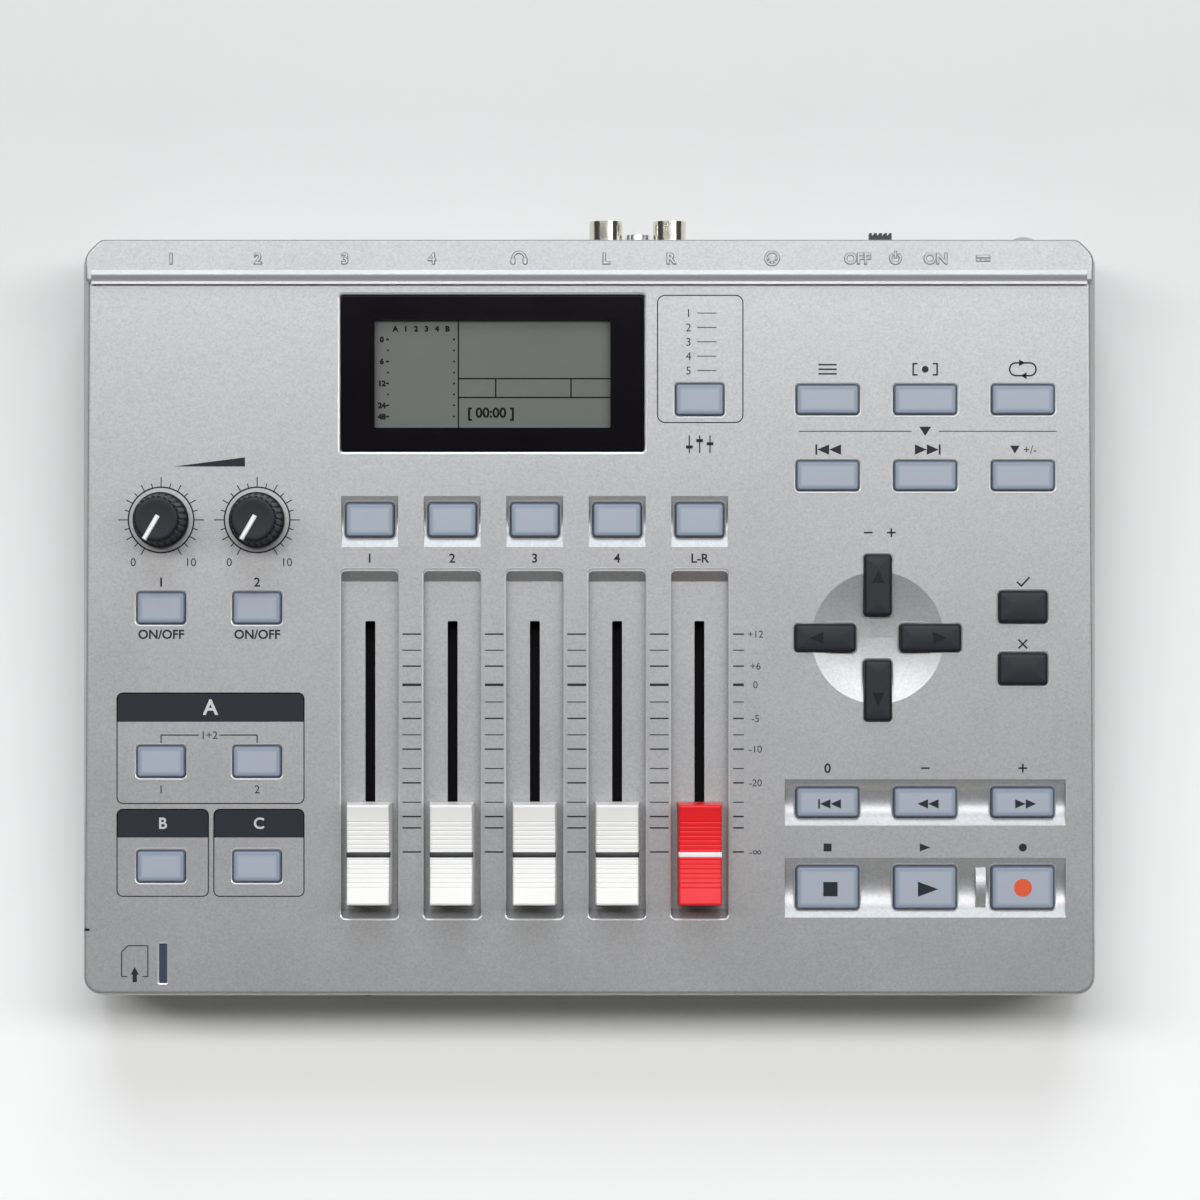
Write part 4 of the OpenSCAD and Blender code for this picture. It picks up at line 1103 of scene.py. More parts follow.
@dataclass
class FaderCaps:
    """Fader caps: a dished, cross-ribbed grip with a marker line and a steel stem under it."""

    height: float = 11.4 * MM
    dish: float = 1.8 * MM
    lean: float = 0.33 * MM
    end_lean: float = 0.25 * MM
    end_edge: float = 0.6 * MM
    shoulder_lean: float = 0.9
    shoulder_drop: float = 1.2 * MM
    side_edge: float = 0.45 * MM
    side_edge_share: float = 0.4
    dish_points: int = 401
    marker_width: float = 1.35 * MM
    marker_edge: float = 0.3 * MM
    marker_rise: float = 0.28 * MM
    marker_depth: float = 5 * MM
    marker_proud: float = 0.05 * MM
    marker_end: float = 0.4 * MM
    first_rib: float = 1.1 * MM
    rib_pitch: float = 1.14 * MM
    rib_depth: float = 0.13 * MM
    rib_share: float = 0.4
    ribs: int = 7
    stem: tuple[float, float, float] = (1.6 * MM, 4 * MM, 0.3 * MM)
    stem_reach: float = 3 * MM
    carriage: tuple[float, float, float] = (6.4 * MM, 8 * MM, 0.5 * MM)
    carriage_height: float = 3 * MM

    def side(self, half: float) -> np.ndarray:
        """Side view of a cap from its front foot to its rear foot.

        The ends lean in and round over; the top is a circular dish, and fine grooves, one period of a
        raised cosine for each rib, cross it on both sides of the marker line.

        Args:
            half: half the length of the cap.

        Returns:
            Points of y and height.
        """
        flat = half - self.end_lean - self.end_edge
        y = np.linspace(-flat, flat, self.dish_points)
        r = bow(2 * flat, self.dish)
        top = self.height + r - self.dish - np.sqrt(r**2 - y**2)
        phase = (np.abs(y) - self.first_rib) / self.rib_pitch
        part = np.mod(phase, 1) / self.rib_share
        grooved = (phase > 0) & (phase < self.ribs) & (part < 1)
        top -= np.where(grooved, (0.5 - 0.5 * np.cos(2 * math.pi * part)) * self.rib_depth, 0)
        over, below = quarter(self.end_edge, 7)
        shoulder = half - self.end_lean * self.shoulder_lean
        foot = np.array([[half, 0], [shoulder, self.height - self.shoulder_drop]])
        rear = np.concatenate([foot, np.column_stack([half - self.end_lean - over, self.height - below])])
        return np.concatenate([rear * np.array([-1, 1]), np.column_stack([y, top]), rear[::-1]])

    def cap(self, width: float, length: float) -> Shape:
        """Cap as a cross-section, rounded at its upper corners, carried along the side view.

        Args:
            width: width of the cap at its foot.
            length: length of the cap at its foot.

        Returns:
            The closed cap about the origin, from height 0.
        """
        path = self.side(length / 2)
        over, below = quarter(1.0, 5)
        high = path[:, 1:]
        edge = np.minimum(self.side_edge, high * self.side_edge_share)
        right_x = width / 2 - self.lean * high / self.height - edge * over
        right_z = high - edge * below
        foot = np.full_like(high, width / 2)
        x = np.concatenate([foot, right_x, -right_x[:, ::-1], -foot], axis=1)
        z = np.concatenate([0 * high, right_z, right_z[:, ::-1], 0 * high], axis=1)
        y = np.repeat(path[:, :1], x.shape[1], axis=1)
        return Shape.loft(np.stack([x, y, z], axis=-1)[::-1])

    def marker(self, width: float) -> Shape:
        """Marker line: a bar with rounded top edges across the cap, down into its sides.

        Args:
            width: width of the cap at its foot.

        Returns:
            The bar about the cap's origin.
        """
        low, half = self.height - self.marker_depth, self.marker_width / 2
        over, below = quarter(self.marker_edge, 4)
        y = half - over
        z = self.height - self.dish + self.marker_rise - below
        section_y = np.concatenate([[half], y, -y[::-1], [-half]])
        section_z = np.concatenate([[low], z, z[::-1], [low]])
        reach = width / 2 - self.lean * section_z / self.height + self.marker_proud
        inner = reach - self.marker_end
        ends = section_z - np.where(section_z > low, self.marker_edge, 0)
        rings = [(-reach, ends), (-inner, section_z), (inner, section_z), (reach, ends)]
        return Shape.loft(np.stack([np.column_stack([x, section_y, z]) for x, z in rings]))

    def build(self) -> None:
        """Makes the caps, marker lines and stems, and lets them stand for their nodes."""
        for node in FADERS:
            low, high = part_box(node)
            width, length = footprint(node)
            x, y, z = *middle(node), high.z - self.height
            red = node == MAIN_FADER
            slot = "cap_red" if red else "cap_white"
            cap = self.cap(width, length).moved(x, y, z)
            piece = cap.placed(f"{node}_cap", CAP_RED if red else CAP_WHITE, node, slot, smooth=40)
            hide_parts(node)
            line = self.marker(width).moved(x, y, z)
            line.placed(f"{node}_marker", MARK_WHITE if red else MARK_BLACK, node, slot, smooth=50)
            stem = Shape.slab(round_rect(*self.stem), low.z, z + self.stem_reach)
            carriage = Shape.slab(round_rect(*self.carriage), low.z, low.z + self.carriage_height)
            both = Shape.join([stem, carriage]).moved(x, y)
            both.placed(f"{node}_stem", STEEL, node, "steel", smooth=None)


@dataclass
class Dials:
    """Input dials: a fluted, tapered grip with a raised pointer, and the print round them.

    The sizes of the print are in millimetres, as Ink takes them.
    """

    height: float = 13.0 * MM
    rim: float = 1.0 * MM
    skirt_step: float = 0.5 * MM
    wall_start: float = 2.0 * MM
    flutes: int = 24
    flute_depth: float = 0.42 * MM
    flute_power: float = 1.5
    flute_steps: int = 12
    flute_start: float = 1.6 * MM
    flute_fade: float = 1.2 * MM
    taper: float = 0.75 * MM
    face_sag: float = 0.12 * MM
    face_end: float = 0.3 * MM
    wall_gap: float = 0.25 * MM
    pointer_turn: float = 240.0
    pointer_half: float = 0.62 * MM
    pointer_foot: float = 0.9 * MM
    pointer_side: float = 0.3 * MM
    pointer_round: float = 0.42 * MM
    pointer_tip: float = 0.25 * MM
    pointer_start: float = -0.8 * MM
    pointer_inset: float = 1.35 * MM
    head_room: float = 0.15 * MM
    shaft_radius: float = 3 * MM
    shaft_reach: float = 2 * MM
    ring_radius: float = 8.4
    ring_width: float = 0.38
    tick_width: float = 0.26
    tick_overlap: float = 0.05
    figure: float = 2.0
    figure_x: tuple[float, float] = (-7.0, 7.4)
    figure_y: float = -10.6

    def grip(self, radius: float) -> Shape:
        """Grip: a tapered body of revolution whose radius dips in a row of flutes.

        The radius at an angle is the profile's radius less the flute depth times a power of a cosine
        of the flute count times the angle, faded in above the skirt and out at the top edge.

        Args:
            radius: radius at the foot.

        Returns:
            The grip about the origin, from height 0.
        """
        body = radius - self.skirt_step
        wall = np.linspace(self.wall_start, self.height - self.rim - self.wall_gap, 10)
        wall_r = body - self.taper * (wall - self.wall_start) / (self.height - self.wall_start)
        over, below = quarter(self.rim, 8)
        over_r, over_z = wall_r[-1] - over, wall[-1] + self.rim - below
        face_r = np.linspace(over_r[-1], self.face_end, 6)[1:]
        face_z = over_z[-1] - self.face_sag * (1 - (face_r / (body - self.taper)) ** 2)
        skirt_r = radius - np.array([0.15, 0, 0, 0.2]) * MM
        skirt_z = np.array([0, 0.15, 1.1, 1.4]) * MM
        r = np.concatenate([skirt_r, wall_r, over_r[1:], face_r])[:, None]
        z = np.concatenate([skirt_z, wall, over_z[1:], face_z])[:, None]
        steps = self.flutes * self.flute_steps
        angle = np.arange(steps) * 2 * math.pi / steps
        dip = np.maximum(0, np.cos(self.flutes * angle)) ** self.flute_power
        fade = np.clip((z - self.flute_start) / self.flute_fade, 0, 1) * (r > over_r[4])
        r = r - self.flute_depth * fade * dip
        rings = [r * np.cos(angle), r * np.sin(angle), np.repeat(z, steps, axis=1)]
        return Shape.loft(np.stack(rings, axis=-1))

    def pointer(self, radius: float) -> Shape:
        """Pointer: a bar with a half-round top from beyond the axis to the edge of the face.

        Args:
            radius: radius of the dial at its foot.

        Returns:
            The bar about the dial's axis, at the dial's turn.
        """
        half, foot = self.pointer_half, self.height - self.pointer_foot
        start, end, tip = self.pointer_start, radius - self.pointer_inset, self.pointer_tip
        turn = np.linspace(0, math.pi, 9)
        section_y = np.concatenate([half * np.cos(turn), [-half, half]])
        crest = self.height - self.pointer_side + self.pointer_round * np.sin(turn)
        section_z = np.concatenate([crest, [foot, foot]])
        drop = np.array([0.3, 0, 0, 0.35]) * MM
        z = np.maximum(section_z - drop[:, None], foot)
        x, y = np.broadcast_arrays(np.array([start - tip, start, end, end + tip])[:, None], section_y)
        c, s = math.cos(math.radians(self.pointer_turn)), math.sin(math.radians(self.pointer_turn))
        return Shape.loft(np.stack([x * c - y * s, x * s + y * c, z], axis=-1))

    def build(self) -> None:
        """Makes both dials and lets them stand for their nodes."""
        for node in DIALS:
            low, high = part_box(node)
            x, y, z = *middle(node), high.z - self.height - self.head_room
            radius = footprint(node)[0] / 2
            piece = self.grip(radius).moved(x, y, z).placed(f"{node}_grip", DIAL, node, "dial", smooth=50)
            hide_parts(node)
            self.pointer(radius).moved(x, y, z).placed(f"{node}_pointer", POINTER, node, "dial", smooth=50)
            shaft = Shape.slab(circle(self.shaft_radius, 32), low.z, z + self.shaft_reach).moved(x, y)
            shaft.placed(f"{node}_shaft", STEEL, node, "steel")

    def printing(self, ink: Ink) -> None:
        """Prints the ring, the ticks every 15 degrees and the end figures round each dial.

        Args:
            ink: the deck's print.
        """
        for node in DIALS:
            pen = ink.at(node)
            pen.ring(circle(self.ring_radius), circle(self.ring_radius - self.ring_width))
            for step in range(-10, 11):
                rank = Tick.LONG if step % 6 == 0 else Tick.MEDIUM if step % 2 == 0 else Tick.SHORT
                turn = math.radians(90 - 15 * step)
                way = np.array([math.cos(turn), math.sin(turn)])
                near = way * (self.ring_radius - self.tick_overlap)
                pen.line(*near, *(near + way * rank.value), self.tick_width)
            for text, x in zip(("0", "10"), self.figure_x):
                pen.words(text, x, self.figure_y, self.figure)


@dataclass
class DeckPrint:
    """All the print on the deck, in millimetres from the keys and faders that it belongs to."""

    ink: Ink = field(default_factory=lambda: Ink("deck_print", DECK))
    line: float = 0.28
    thin: float = 0.22
    bold: float = 0.42
    label: float = 2.2
    figure: float = 2.0
    weight: float = 0.03
    corner: float = 1.6
    scale_rows: tuple[tuple[float, str, float], ...] = (
        (54.94, "+12", 0.38),
        (50.90, "", 0.26),
        (46.91, "+6", 0.38),
        (42.22, "0", 0.66),
        (37.90, "", 0.26),
        (33.78, "-5", 0.38),
        (29.67, "", 0.26),
        (26.08, "-10", 0.38),
        (21.21, "", 0.26),
        (17.62, "-20", 0.38),
        (12.75, "", 0.26),
        (9.16, "", 0.38),
        (6.30, "", 0.38),
        (0.27, "-∞", 0.38),
    )

    def build(self, dials: Dials) -> None:
        """Prints everything on the deck.

        Args:
            dials: the dials, which print their own rings.
        """
        dials.printing(self.ink)
        self.inputs()
        self.left_blocks()
        self.fader_scale()
        self.parameter_box()
        self.right_grid()
        self.cursor_signs()
        self.transport_signs()
        self.card_sign()
        self.ink.placed()

    def inputs(self) -> None:
        """Prints the level wedge over the dials, and a figure and ON/OFF at each input key."""
        keys = ("input_key_1", "input_key_2")
        self.ink.at(*keys).fill(np.array([[-9, 35.5], [9, 35.5], [9, 37.8]]))
        for figure, key in zip("12", keys):
            self.ink.at(key).words(figure, 0, 6.5, self.label, self.weight)
            self.ink.at(key).words("ON/OFF", 0, -6.6, self.label, 0.035)

    def left_blocks(self) -> None:
        """Prints the three boxes at the left with their dark headers and pale letters."""
        upper, lower = self.ink.at("left_key_1", "left_key_2"), self.ink.at("left_key_3", "left_key_4")
        reach = (middle("left_key_2") - middle("left_key_1"))[0] / (2 * MM)
        left, right = -reach - 11.2, reach + 11.9
        blocks = [
            ("A", upper, left, right, 17.3, -10.7, 7.35, 3.7),
            ("B", lower, left, -0.05, 14.4, -7.7, 7.2, 2.7),
            ("C", lower, 1.05, right, 14.4, -7.7, 7.2, 2.7),
        ]
        pale = Ink("header_letters", DECK + INK_THICKNESS, PALE_INK)
        for letter, pen, x0, x1, rear, front, header, size in blocks:
            mid, foot = (x0 + x1) / 2, rear - header
            pen.box(x0, front, x1, rear, self.corner, self.line)
            rounded = round_rect(x1 - x0, 2 * header, self.corner)[:12] + np.array([mid, foot])
            pen.fill(np.concatenate([rounded, [[x0, foot], [x1, foot]]]))
            replace(pale, origin=pen.origin).words(letter, mid, rear - header / 2, size, self.weight)
        pale.placed()
        bar, gap = 6.6, 2.6
        for side in (-1, 1):
            upper.line(side * (reach + self.line / 2), bar, side * gap, bar, self.line)
            upper.line(side * reach, bar, side * reach, bar - 2.0, self.line)
        upper.words("1+2", 0, bar, 1.9)
        upper.words("1", -reach, -7.0, self.figure)
        upper.words("2", reach, -7.0, self.figure)

    def fader_scale(self) -> None:
        """Prints the level marks between the faders, their figures, and the track figures."""
        pens = [self.ink.at(fader) for fader in FADERS]
        gap = (pens[1].origin - pens[0].origin)[0] / (2 * MM) + 0.2
        for up, figure, width in self.scale_rows:
            low, high = up - width / 2, up + width / 2
            for pen in pens[:-1]:
                pen.fill(rectangle(gap - 2.35, low, gap + 2.35, high))
            pens[-1].fill(rectangle(8.4, low, 11.1, high))
            if figure:
                pens[-1].words(figure, 14.0, up, 1.75)
        for figure, key in zip(("1", "2", "3", "4", "L-R"), TRACK_KEYS):
            self.ink.at(key).words(figure, 0, -9.6, self.label, self.weight)

    def parameter_box(self) -> None:
        """Prints the box beside the display with five figures, and a sliders sign under it."""
        pen = self.ink.at("parameter_key")
        pen.box(-10.7, -5.9, 11, 26.3, 2.0, self.line)
        for n in range(5):
            row = 21.7 - 3.6 * n
            pen.words(str(n + 1), -2.8, row, self.figure)
            pen.line(-0.6, row, 4.2, row, self.thin)
        for x, knob in ((-2.6, -11.9), (0, -10.3), (2.6, -11.1)):
            pen.line(x, -13.4, x, -9.0, 0.32)
            pen.fill(rectangle(x - 0.85, knob - 0.4, x + 0.85, knob + 0.4))

    def right_grid(self) -> None:
        """Prints the signs over the wide keys, and the divider with its marker flag."""
        menu, mark, loop, start, end, flag = (self.ink.at(key) for key in GRID_KEYS)
        y, bracket, divider, sign_y = 7.6, 0.4, -7.95, 6.55
        for row in (y - 1.15, y, y + 1.15):
            menu.line(-2.3, row, 2.3, row, self.bold)
        for edge, inner in ((-3.0, -1.9), (3.0, 1.9)):
            mark.line(edge, y - 1.6, edge, y + 1.6, bracket)
            for row in (y - 1.4, y + 1.4):
                mark.line(inner, row, edge, row, bracket)
        mark.fill(circle(0.85, 24) + np.array([0, y]))
        loop.ring(*(round_rect(*sizes) + np.array([0, y]) for sizes in ((7, 3.6, 1.7), (6.2, 2.8, 1.3))))
        loop.fill(triangle(-0.2, y + 1.6, 1.5, 1.7), triangle(0.2, y - 1.6, 1.5, 1.7, 180))
        pitch = (mark.origin - menu.origin)[0] / MM
        mark.line(-pitch - 7.2, divider, -3.4, divider, self.thin)
        mark.line(3.4, divider, pitch + 8.5, divider, self.thin)
        mark.fill(triangle(0, divider, 2.3, 3.0, -90))
        for symbol, pen in ((Symbol.TO_START, start), (Symbol.TO_END, end)):
            pen.fill(*symbol_outlines(symbol, 0.4, sign_y, 2.6))
        flag.fill(triangle(-2.0, sign_y, 2.0, 2.4, -90))
        flag.words("+/-", 1.8, sign_y, self.figure)

    def cursor_signs(self) -> None:
        """Prints plus and minus over the cursor keys, and a tick and a cross over the black keys."""
        pen = self.ink.at(*CURSOR_TURNS)
        pen.plus_minus(-2.4, 26.4, False)
        pen.plus_minus(3.4, 26.4, True)
        enter, leave = (self.ink.at(key) for key in ENTRY_KEYS)
        enter.line(-1.5, 6.3, -0.3, 5.2, 0.45)
        enter.line(-0.45, 5.2, 1.7, 7.5, 0.45)
        for s in (-1, 1):
            leave.line(-1.1, 6.2 - s * 1.1, 1.1, 6.2 + s * 1.1, self.bold)

    def transport_signs(self) -> None:
        """Prints a short figure or sign over each transport key."""
        upper, lower = RUN_ROWS
        self.ink.at(upper[0]).words("0", 0, 8.6, 2.3, self.weight)
        self.ink.at(upper[1]).plus_minus(0, 8.6, False)
        self.ink.at(upper[2]).plus_minus(0, 8.6, True)
        for key in lower:
            self.ink.at(key).fill(*symbol_outlines(RUN_SIGNS[key], 0, 10.1, self.figure))

    def card_sign(self) -> None:
        """Prints a card with a cut corner and an arrow into it, beside the access light."""
        pen = self.ink.at("access_light")
        rear_edge = footprint("access_light")[1] / (2 * MM)
        left, right, cut, gap = -10.4, -3.83, 1.6, 1.9
        rear, front, mid = rear_edge - 0.9, rear_edge - 8.65, (left + right) / 2
        corners = [
            (mid - gap, front),
            (left, front),
            (left, rear - cut),
            (left + cut, rear),
            (right, rear),
            (right, front),
            (mid + gap, front),
        ]
        for a, b in zip(corners, corners[1:]):
            pen.line(*a, *b, 0.26)
        pen.fill(triangle(mid, front + 1.45, 1.9, 2.1, 90))
        pen.fill(rectangle(mid - 0.56, front - 1.4, mid + 0.56, front + 0.5))


@dataclass
class StripSigns:
    """Signs moulded in relief on the raised rear strip, over the sockets that they name."""

    rise: float = 0.34 * MM
    slope: float = 0.25 * MM
    foot: float = 0.04 * MM
    sink: float = 0.06 * MM
    letter: float = 2.6 * MM
    letter_thickness: float = 0.02 * MM
    letter_sink: float = 0.01 * MM
    row: float = 5.62 * MM
    jack_inset: float = 7.5 * MM
    phono_inset: float = 6 * MM
    off_shift: float = -7 * MM
    power_shift: float = 2.5 * MM
    on_shift: float = 12.6 * MM
    inlet_shift: float = 2 * MM

    def build(self) -> None:
        """Makes all the raised signs one piece."""
        low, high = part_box("phone_jacks")
        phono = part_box("phono_jacks")
        y = high.y - self.row
        first, last = low.x + self.jack_inset, high.x - self.jack_inset
        left, right = phono[0].x + self.phono_inset, phono[1].x - self.phono_inset
        slider = middle("power_slider")[0]
        shapes = [self.word(str(n + 1), first + n * (last - first) / 4, y) for n in range(4)]
        shapes += self.headphones(last, y)
        shapes += [self.word("L", left, y), self.word("R", right, y)]
        shapes += self.five_pins(middle("midi_socket")[0], y)
        shapes += [self.word("OFF", slider + self.off_shift, y), self.word("ON", slider + self.on_shift, y)]
        shapes += self.power(slider + self.power_shift, y)
        shapes += self.direct_current(middle("dc_socket")[0] + self.inlet_shift, y)
        Shape.join(shapes).placed("strip_signs", RELIEF, smooth=30)

    def word(self, text: str, x: float, y: float) -> Shape:
        """Raises letters on the strip: their bevel is stretched to the height of the other signs.

        Args:
            text: the letters.
            x: middle along x.
            y: middle along y.

        Returns:
            The raised letters.
        """
        shape = lettering(text, self.letter, self.letter_thickness, bevel=self.slope)
        steep = shape.points * [1, 1, self.rise / self.slope]
        return replace(shape, points=steep).moved(x, y, STRIP - self.letter_sink)

    def raised(self, outline: np.ndarray, x: float, y: float) -> Shape:
        """Raises a sign with sloped sides, from a wider foot to its face.

        Args:
            outline: the face, in millimetres about x and y.
            x: middle along x.
            y: middle along y.

        Returns:
            The raised sign.
        """
        face = outline * MM
        foot = outset(face, self.slope + self.foot)
        return Shape.stacked([(foot, STRIP - self.sink), (face, STRIP + self.rise)]).moved(x, y)

    def raised_ring(self, outer: float, inner: float, x: float, y: float) -> Shape:
        """Raises a ring with sloped sides.

        Args:
            outer: outer radius of its face.
            inner: inner radius of its face.
            x: middle along x.
            y: middle along y.

        Returns:
            The raised ring.
        """
        low, high, more = STRIP - self.sink, STRIP + self.rise, self.slope + self.foot
        path = [(outer + more, low), (outer, high), (inner, high), (inner - more, low)]
        return Shape.stacked([(circle(r, 40), z) for r, z in path], wrap=True).moved(x, y)

    def headphones(self, x: float, y: float) -> list[Shape]:
        """Draws a half-ring band with two ear pads.

        Args:
            x: middle along x.
            y: middle along y.

        Returns:
            The raised parts of the sign.
        """
        half = arch(0, 180, 16)
        band = np.concatenate([half * 1.7, half[::-1] * 1.35])
        pads = [round_rect(0.8, 1.5, 0.3) + np.array([s * 1.5, -0.6]) for s in (-1, 1)]
        return [self.raised(outline, x, y) for outline in (band, *pads)]

    def five_pins(self, x: float, y: float) -> list[Shape]:
        """Draws a ring with five dots along its lower half.

        Args:
            x: middle along x.
            y: middle along y.

        Returns:
            The raised parts of the sign.
        """
        spots = 1.1 * MM * arch(-180, 0, 5)
        dots = [self.raised(circle(0.24, 12), x + dx, y + dy) for dx, dy in spots]
        return [self.raised_ring(1.75 * MM, 1.45 * MM, x, y), *dots]

    def power(self, x: float, y: float) -> list[Shape]:
        """Draws the stand-by sign: an open ring with a bar in its gap.

        Args:
            x: middle along x.
            y: middle along y.

        Returns:
            The raised parts of the sign.
        """
        most = arch(130, 410, 28)
        ring = np.concatenate([most * 1.4, most[::-1] * 1.05])
        return [self.raised(outline, x, y) for outline in (ring, rectangle(-0.18, 0.2, 0.18, 1.7))]

    def direct_current(self, x: float, y: float) -> list[Shape]:
        """Draws a long bar over three short ones.

        Args:
            x: middle along x.
            y: middle along y.

        Returns:
            The raised parts of the sign.
        """
        bars = [rectangle(-1.6, 0.35, 1.6, 0.7)]
        bars += [rectangle(n - 0.4, -0.6, n + 0.4, -0.25) for n in (-1.2, 0, 1.2)]
        return [self.raised(outline, x, y) for outline in bars]


@dataclass
class Display:
    """Display: glossy black border, clear pane, crystal face, and the lines and figures always shown.

    The sizes of the marks are in millimetres, as Ink takes them.
    """

    view: tuple[float, float] = (59.2 * MM, 27.3 * MM)
    edge: float = 0.25 * MM
    corner: float = 0.7 * MM
    view_corner: float = 0.3 * MM
    border_drop: float = 0.2 * MM
    pane_thickness: float = 0.9 * MM
    pane_gap: float = 0.01 * MM
    glass_drop: float = 0.3 * MM
    face_margin: float = 1 * MM
    face_corner: float = 0.4 * MM
    face_rise: float = 0.03 * MM
    face_sink: float = 0.02 * MM
    line: float = 0.36
    small_word: float = 1.3
    meter_pitch: float = 5.53
    meter_figures: tuple[str, ...] = ("0", "6", "12", "24", "48")

    def build(self) -> None:
        """Makes the border and pane, which stand for the window, and the face with its marks."""
        low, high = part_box("display_window")
        place, size, view = middle("display_window"), footprint("display_window"), np.array(self.view)
        insets, below = quarter(self.edge, 5)
        rounding = [(0, high.z - low.z), *zip(insets, below), (1.2 * self.edge, 0)]
        levels = [(round_rect(*(size - 2 * i), self.corner), high.z - drop) for i, drop in rounding]
        inner = round_rect(*view, self.view_corner)
        levels += [(inner, high.z), (inner, high.z - self.border_drop)]
        border = Shape.stacked(levels, wrap=True).moved(*place)
        piece = border.placed("window_border", GLOSS_BLACK, slot="window")
        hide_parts("display_window")
        clear = round_rect(*(view - 2 * self.pane_gap), self.view_corner)
        pane = Shape.slab(clear, high.z - self.pane_thickness, high.z - self.pane_gap).moved(*place)
        pane.placed("window_pane", PANE, slot="window", smooth=None)
        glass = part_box("lcd_module")[1].z - self.glass_drop
        whole = round_rect(*(view + 2 * self.face_margin), self.face_corner)
        face = Shape.slab(whole, glass - self.face_sink, glass + self.face_rise).moved(*place)
        face.placed("crystal_face", CELL, slot="lcd", smooth=None)
        self.marks(glass + self.face_rise)

    def marks(self, level: float) -> None:
        """Draws the fixed lines, meter scale and figures of the face, in millimetres from its middle.

        Args:
            level: height of the face.
        """
        ink = Ink("crystal_marks", level, SEGMENT, slot="lcd").at("display_window")
        right, rear = np.array(self.view) / (2 * MM)
        split, upper, lower = -8.65, -1.2, -5.95
        ink.line(split, -rear, split, rear, self.line)
        for row in (upper, lower):
            ink.line(split, row, right, row, self.line)
        for column in (0.75, 19.7):
            ink.line(column, lower, column, upper, self.line)
        for n, figure in enumerate("A1234B"):
            ink.words(figure, 2.62 * n - 24.5, rear - 2.3, self.small_word, 0.08)
        near, far = -26.4, split - 1.1
        rows = [rear - 5.0 - self.meter_pitch * n for n in range(4)] + [rear - 24.4]
        for figure, row in zip(self.meter_figures, rows):
            ink.words(figure, near - 1.5, row, self.small_word, 0.09)
            ink.line(near - 0.45, row, near + 0.3, row, 0.45)
            ink.line(far - 0.25, row, far + 0.25, row, 0.45)
        for n in range(3):
            row = rear - 7.77 - self.meter_pitch * n
            for column in (near, far):
                ink.line(column - 0.2, row, column + 0.25, row, 0.42)
        ink.words("[ 00:00 ]", split + 8.2, 3.9 - rear, 2.4, 0.045)
        ink.placed()


@dataclass
class RearSockets:
    """Insulators in the phono sockets: white for the left channel and red for the right."""

    barrel: float = 4.2 * MM
    wall: float = 0.6 * MM
    bore: float = 1.65 * MM
    gap: float = 0.06 * MM
    outer_chamfer: float = 0.25 * MM
    inner_chamfer: float = 0.3 * MM
    mouth: float = 0.6 * MM
    centre: float = 6 * MM
    steps: int = 48

    def build(self) -> None:
        """Makes a chamfered ring in the mouth of each phono barrel."""
        low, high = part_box("phono_jacks")
        reach, bore = self.barrel - self.wall - self.gap, self.bore
        face = [reach - self.outer_chamfer, bore + self.inner_chamfer]
        r = np.array([reach, reach, *face, bore, bore])[:, None]
        depth = np.array([-1.0, -0.1, 0.1, 0.1, -0.2, -1.0])[:, None] * MM
        unit = circle(1.0, self.steps)
        y = np.repeat(high.y - self.mouth + depth, self.steps, axis=1)
        z = high.z - self.centre - r * unit[:, 1]
        left, right = low.x + self.centre, high.x - self.centre
        for name, x, finish in (("left", left, INSULATOR_WHITE), ("right", right, INSULATOR_RED)):
            ring = Shape.loft(np.stack([x + r * unit[:, 0], y, z], axis=-1), wrap=True)
            ring.placed(f"phono_insulator_{name}", finish, slot="plated", smooth=40)


@dataclass(frozen=True)
class Lamp:
    """A rectangular lamp, aimed at the object: its place, width and depth, power in watts and colour."""

    name: str
    place: tuple[float, float, float]
    size: tuple[float, float]
    power: float
    colour: Colour = (1.0, 1.0, 1.0)

    def hang(self) -> None:
        """Hangs the lamp in the scene."""
        data = bpy.data.lights.new(self.name, "AREA")
        data.shape = "RECTANGLE"
        data.size, data.size_y = self.size
        data.energy = self.power
        data.color = self.colour
        lamp = bpy.data.objects.new(self.name, data)
        lamp.location = self.place
        back = np.array(self.place) / np.linalg.norm(self.place)
        lamp.rotation_euler = (math.acos(back[2]), 0, math.atan2(back[0], -back[1]))
        bpy.context.scene.collection.objects.link(lamp)


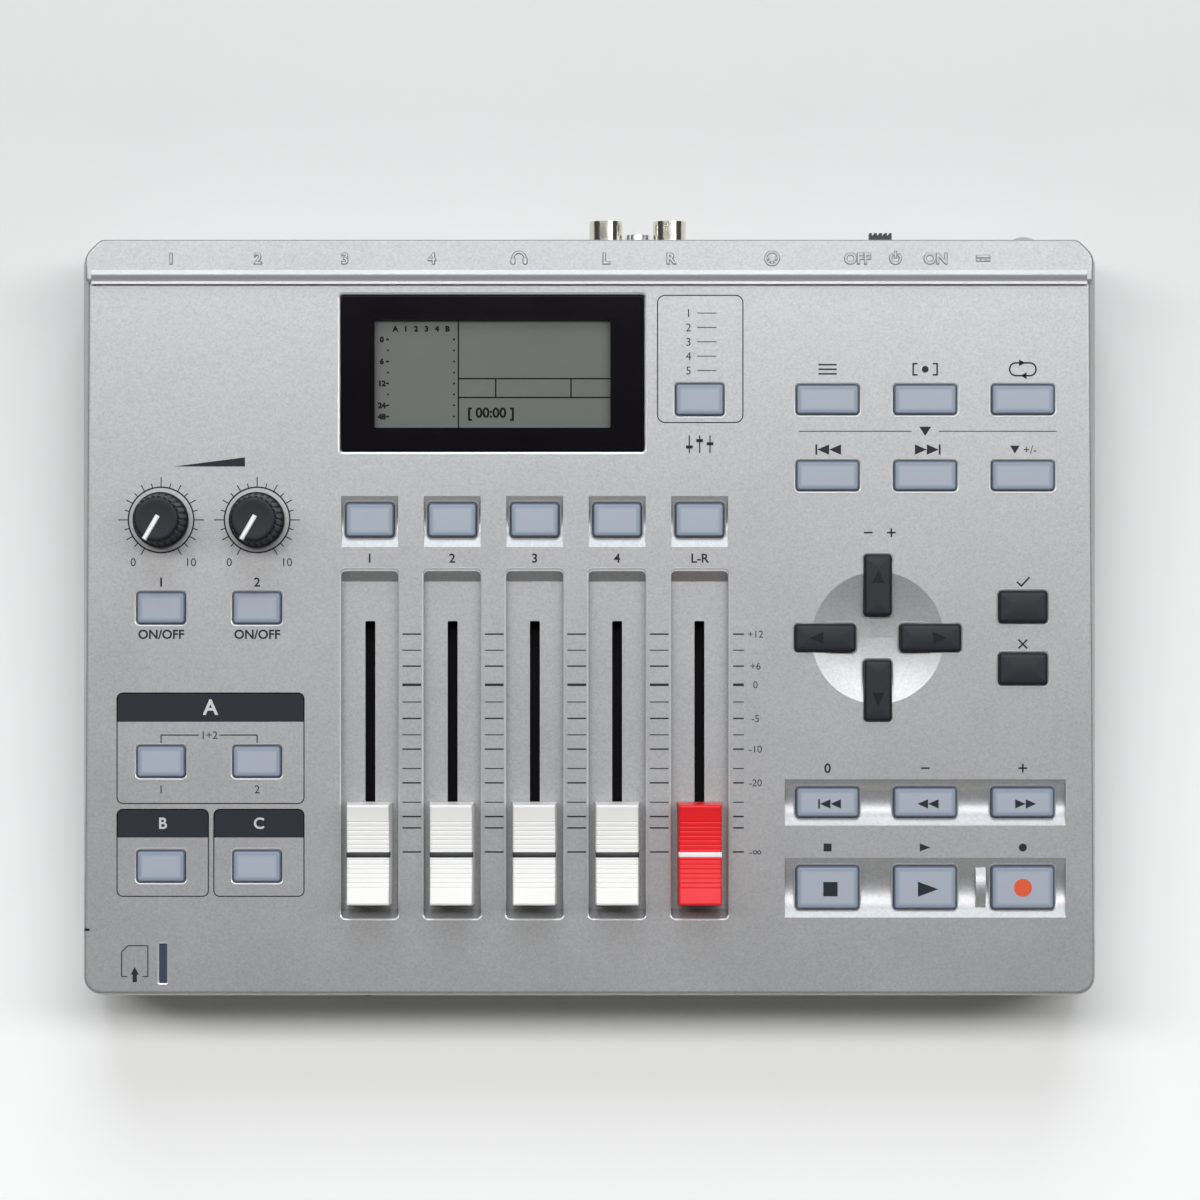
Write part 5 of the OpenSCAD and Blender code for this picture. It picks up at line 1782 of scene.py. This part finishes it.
@dataclass
class Studio:
    """Camera over the object, pale floor, broad soft lamp above, panel behind and a weak one in front."""

    camera_place: tuple[float, float, float] = (2.69 * MM, 1.8 * MM, 1138 * MM)
    lens: float = 131.5
    sensor: float = 36.0
    floor_size: float = 6.0
    lamps: tuple[Lamp, ...] = (
        Lamp("key_lamp", (0.04, 0.74, 2.64), (5.2, 0.56), 82.0),
        Lamp("back_panel", (0.0, 2.5, 2.15), (1.8, 1.9), 48.0, (0.90, 0.95, 1.0)),
        Lamp("front_panel", (0.0, -2.6, 2.2), (3.0, 1.4), 7.5, (1.0, 0.97, 0.90)),
    )
    fill_level: float = 0.07
    fill_colour: tuple[float, float, float, float] = (0.97, 0.98, 1.0, 1.0)

    def build(self) -> None:
        """Makes the camera, the floor, the lamps and the world."""
        scene = bpy.context.scene
        scene.view_settings.view_transform = "Standard"
        lens = bpy.data.cameras.new("camera")
        lens.lens = self.lens
        lens.sensor_width = self.sensor
        lens.clip_start, lens.clip_end = 0.01, 50.0
        camera = bpy.data.objects.new("camera", lens)
        camera.location = self.camera_place
        scene.collection.objects.link(camera)
        scene.camera = camera
        self.floor()
        for lamp in self.lamps:
            lamp.hang()
        self.world()

    def floor(self) -> None:
        """Lays a pale paper floor under the feet, its colour lighter at the front and greyer at the rear as
        painted light.
        """
        half = self.floor_size / 2
        mesh = bpy.data.meshes.new("floor")
        mesh.from_pydata(at_height(rectangle(-half, -half, half, half), 0).tolist(), [], [(0, 1, 2, 3)])
        floor = bpy.data.objects.new("floor", mesh)
        bpy.context.scene.collection.objects.link(floor)
        mesh.materials.append(PAPER.material())

    def world(self) -> None:
        """Sets an even pale surround."""
        world = bpy.data.worlds.new("surround")
        world.use_nodes = True
        ground = world.node_tree.nodes["Background"]
        ground.inputs["Color"].default_value = self.fill_colour
        ground.inputs["Strength"].default_value = self.fill_level
        bpy.context.scene.world = world


def dress_nodes() -> None:
    """Gives every CAD node that keeps its shape its finish."""
    for finish, names in NODE_FINISHES.items():
        for name in names:
            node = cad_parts[name]
            node.data.materials.clear()
            node.data.materials.append(finish.material())
            LOG.info("%s: %s", name, finish.name)


def main() -> None:
    """Builds the recorder's pieces in order, then the studio round them."""
    logging.basicConfig(level=logging.INFO, format="%(name)s: %(message)s")
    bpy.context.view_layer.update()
    dials = Dials()
    dress_nodes()
    Deck().build()
    Keys().build()
    FaderCaps().build()
    dials.build()
    DeckPrint().build(dials)
    StripSigns().build()
    Display().build()
    RearSockets().build()
    Studio().build()


if __name__ == "__main__":
    main()
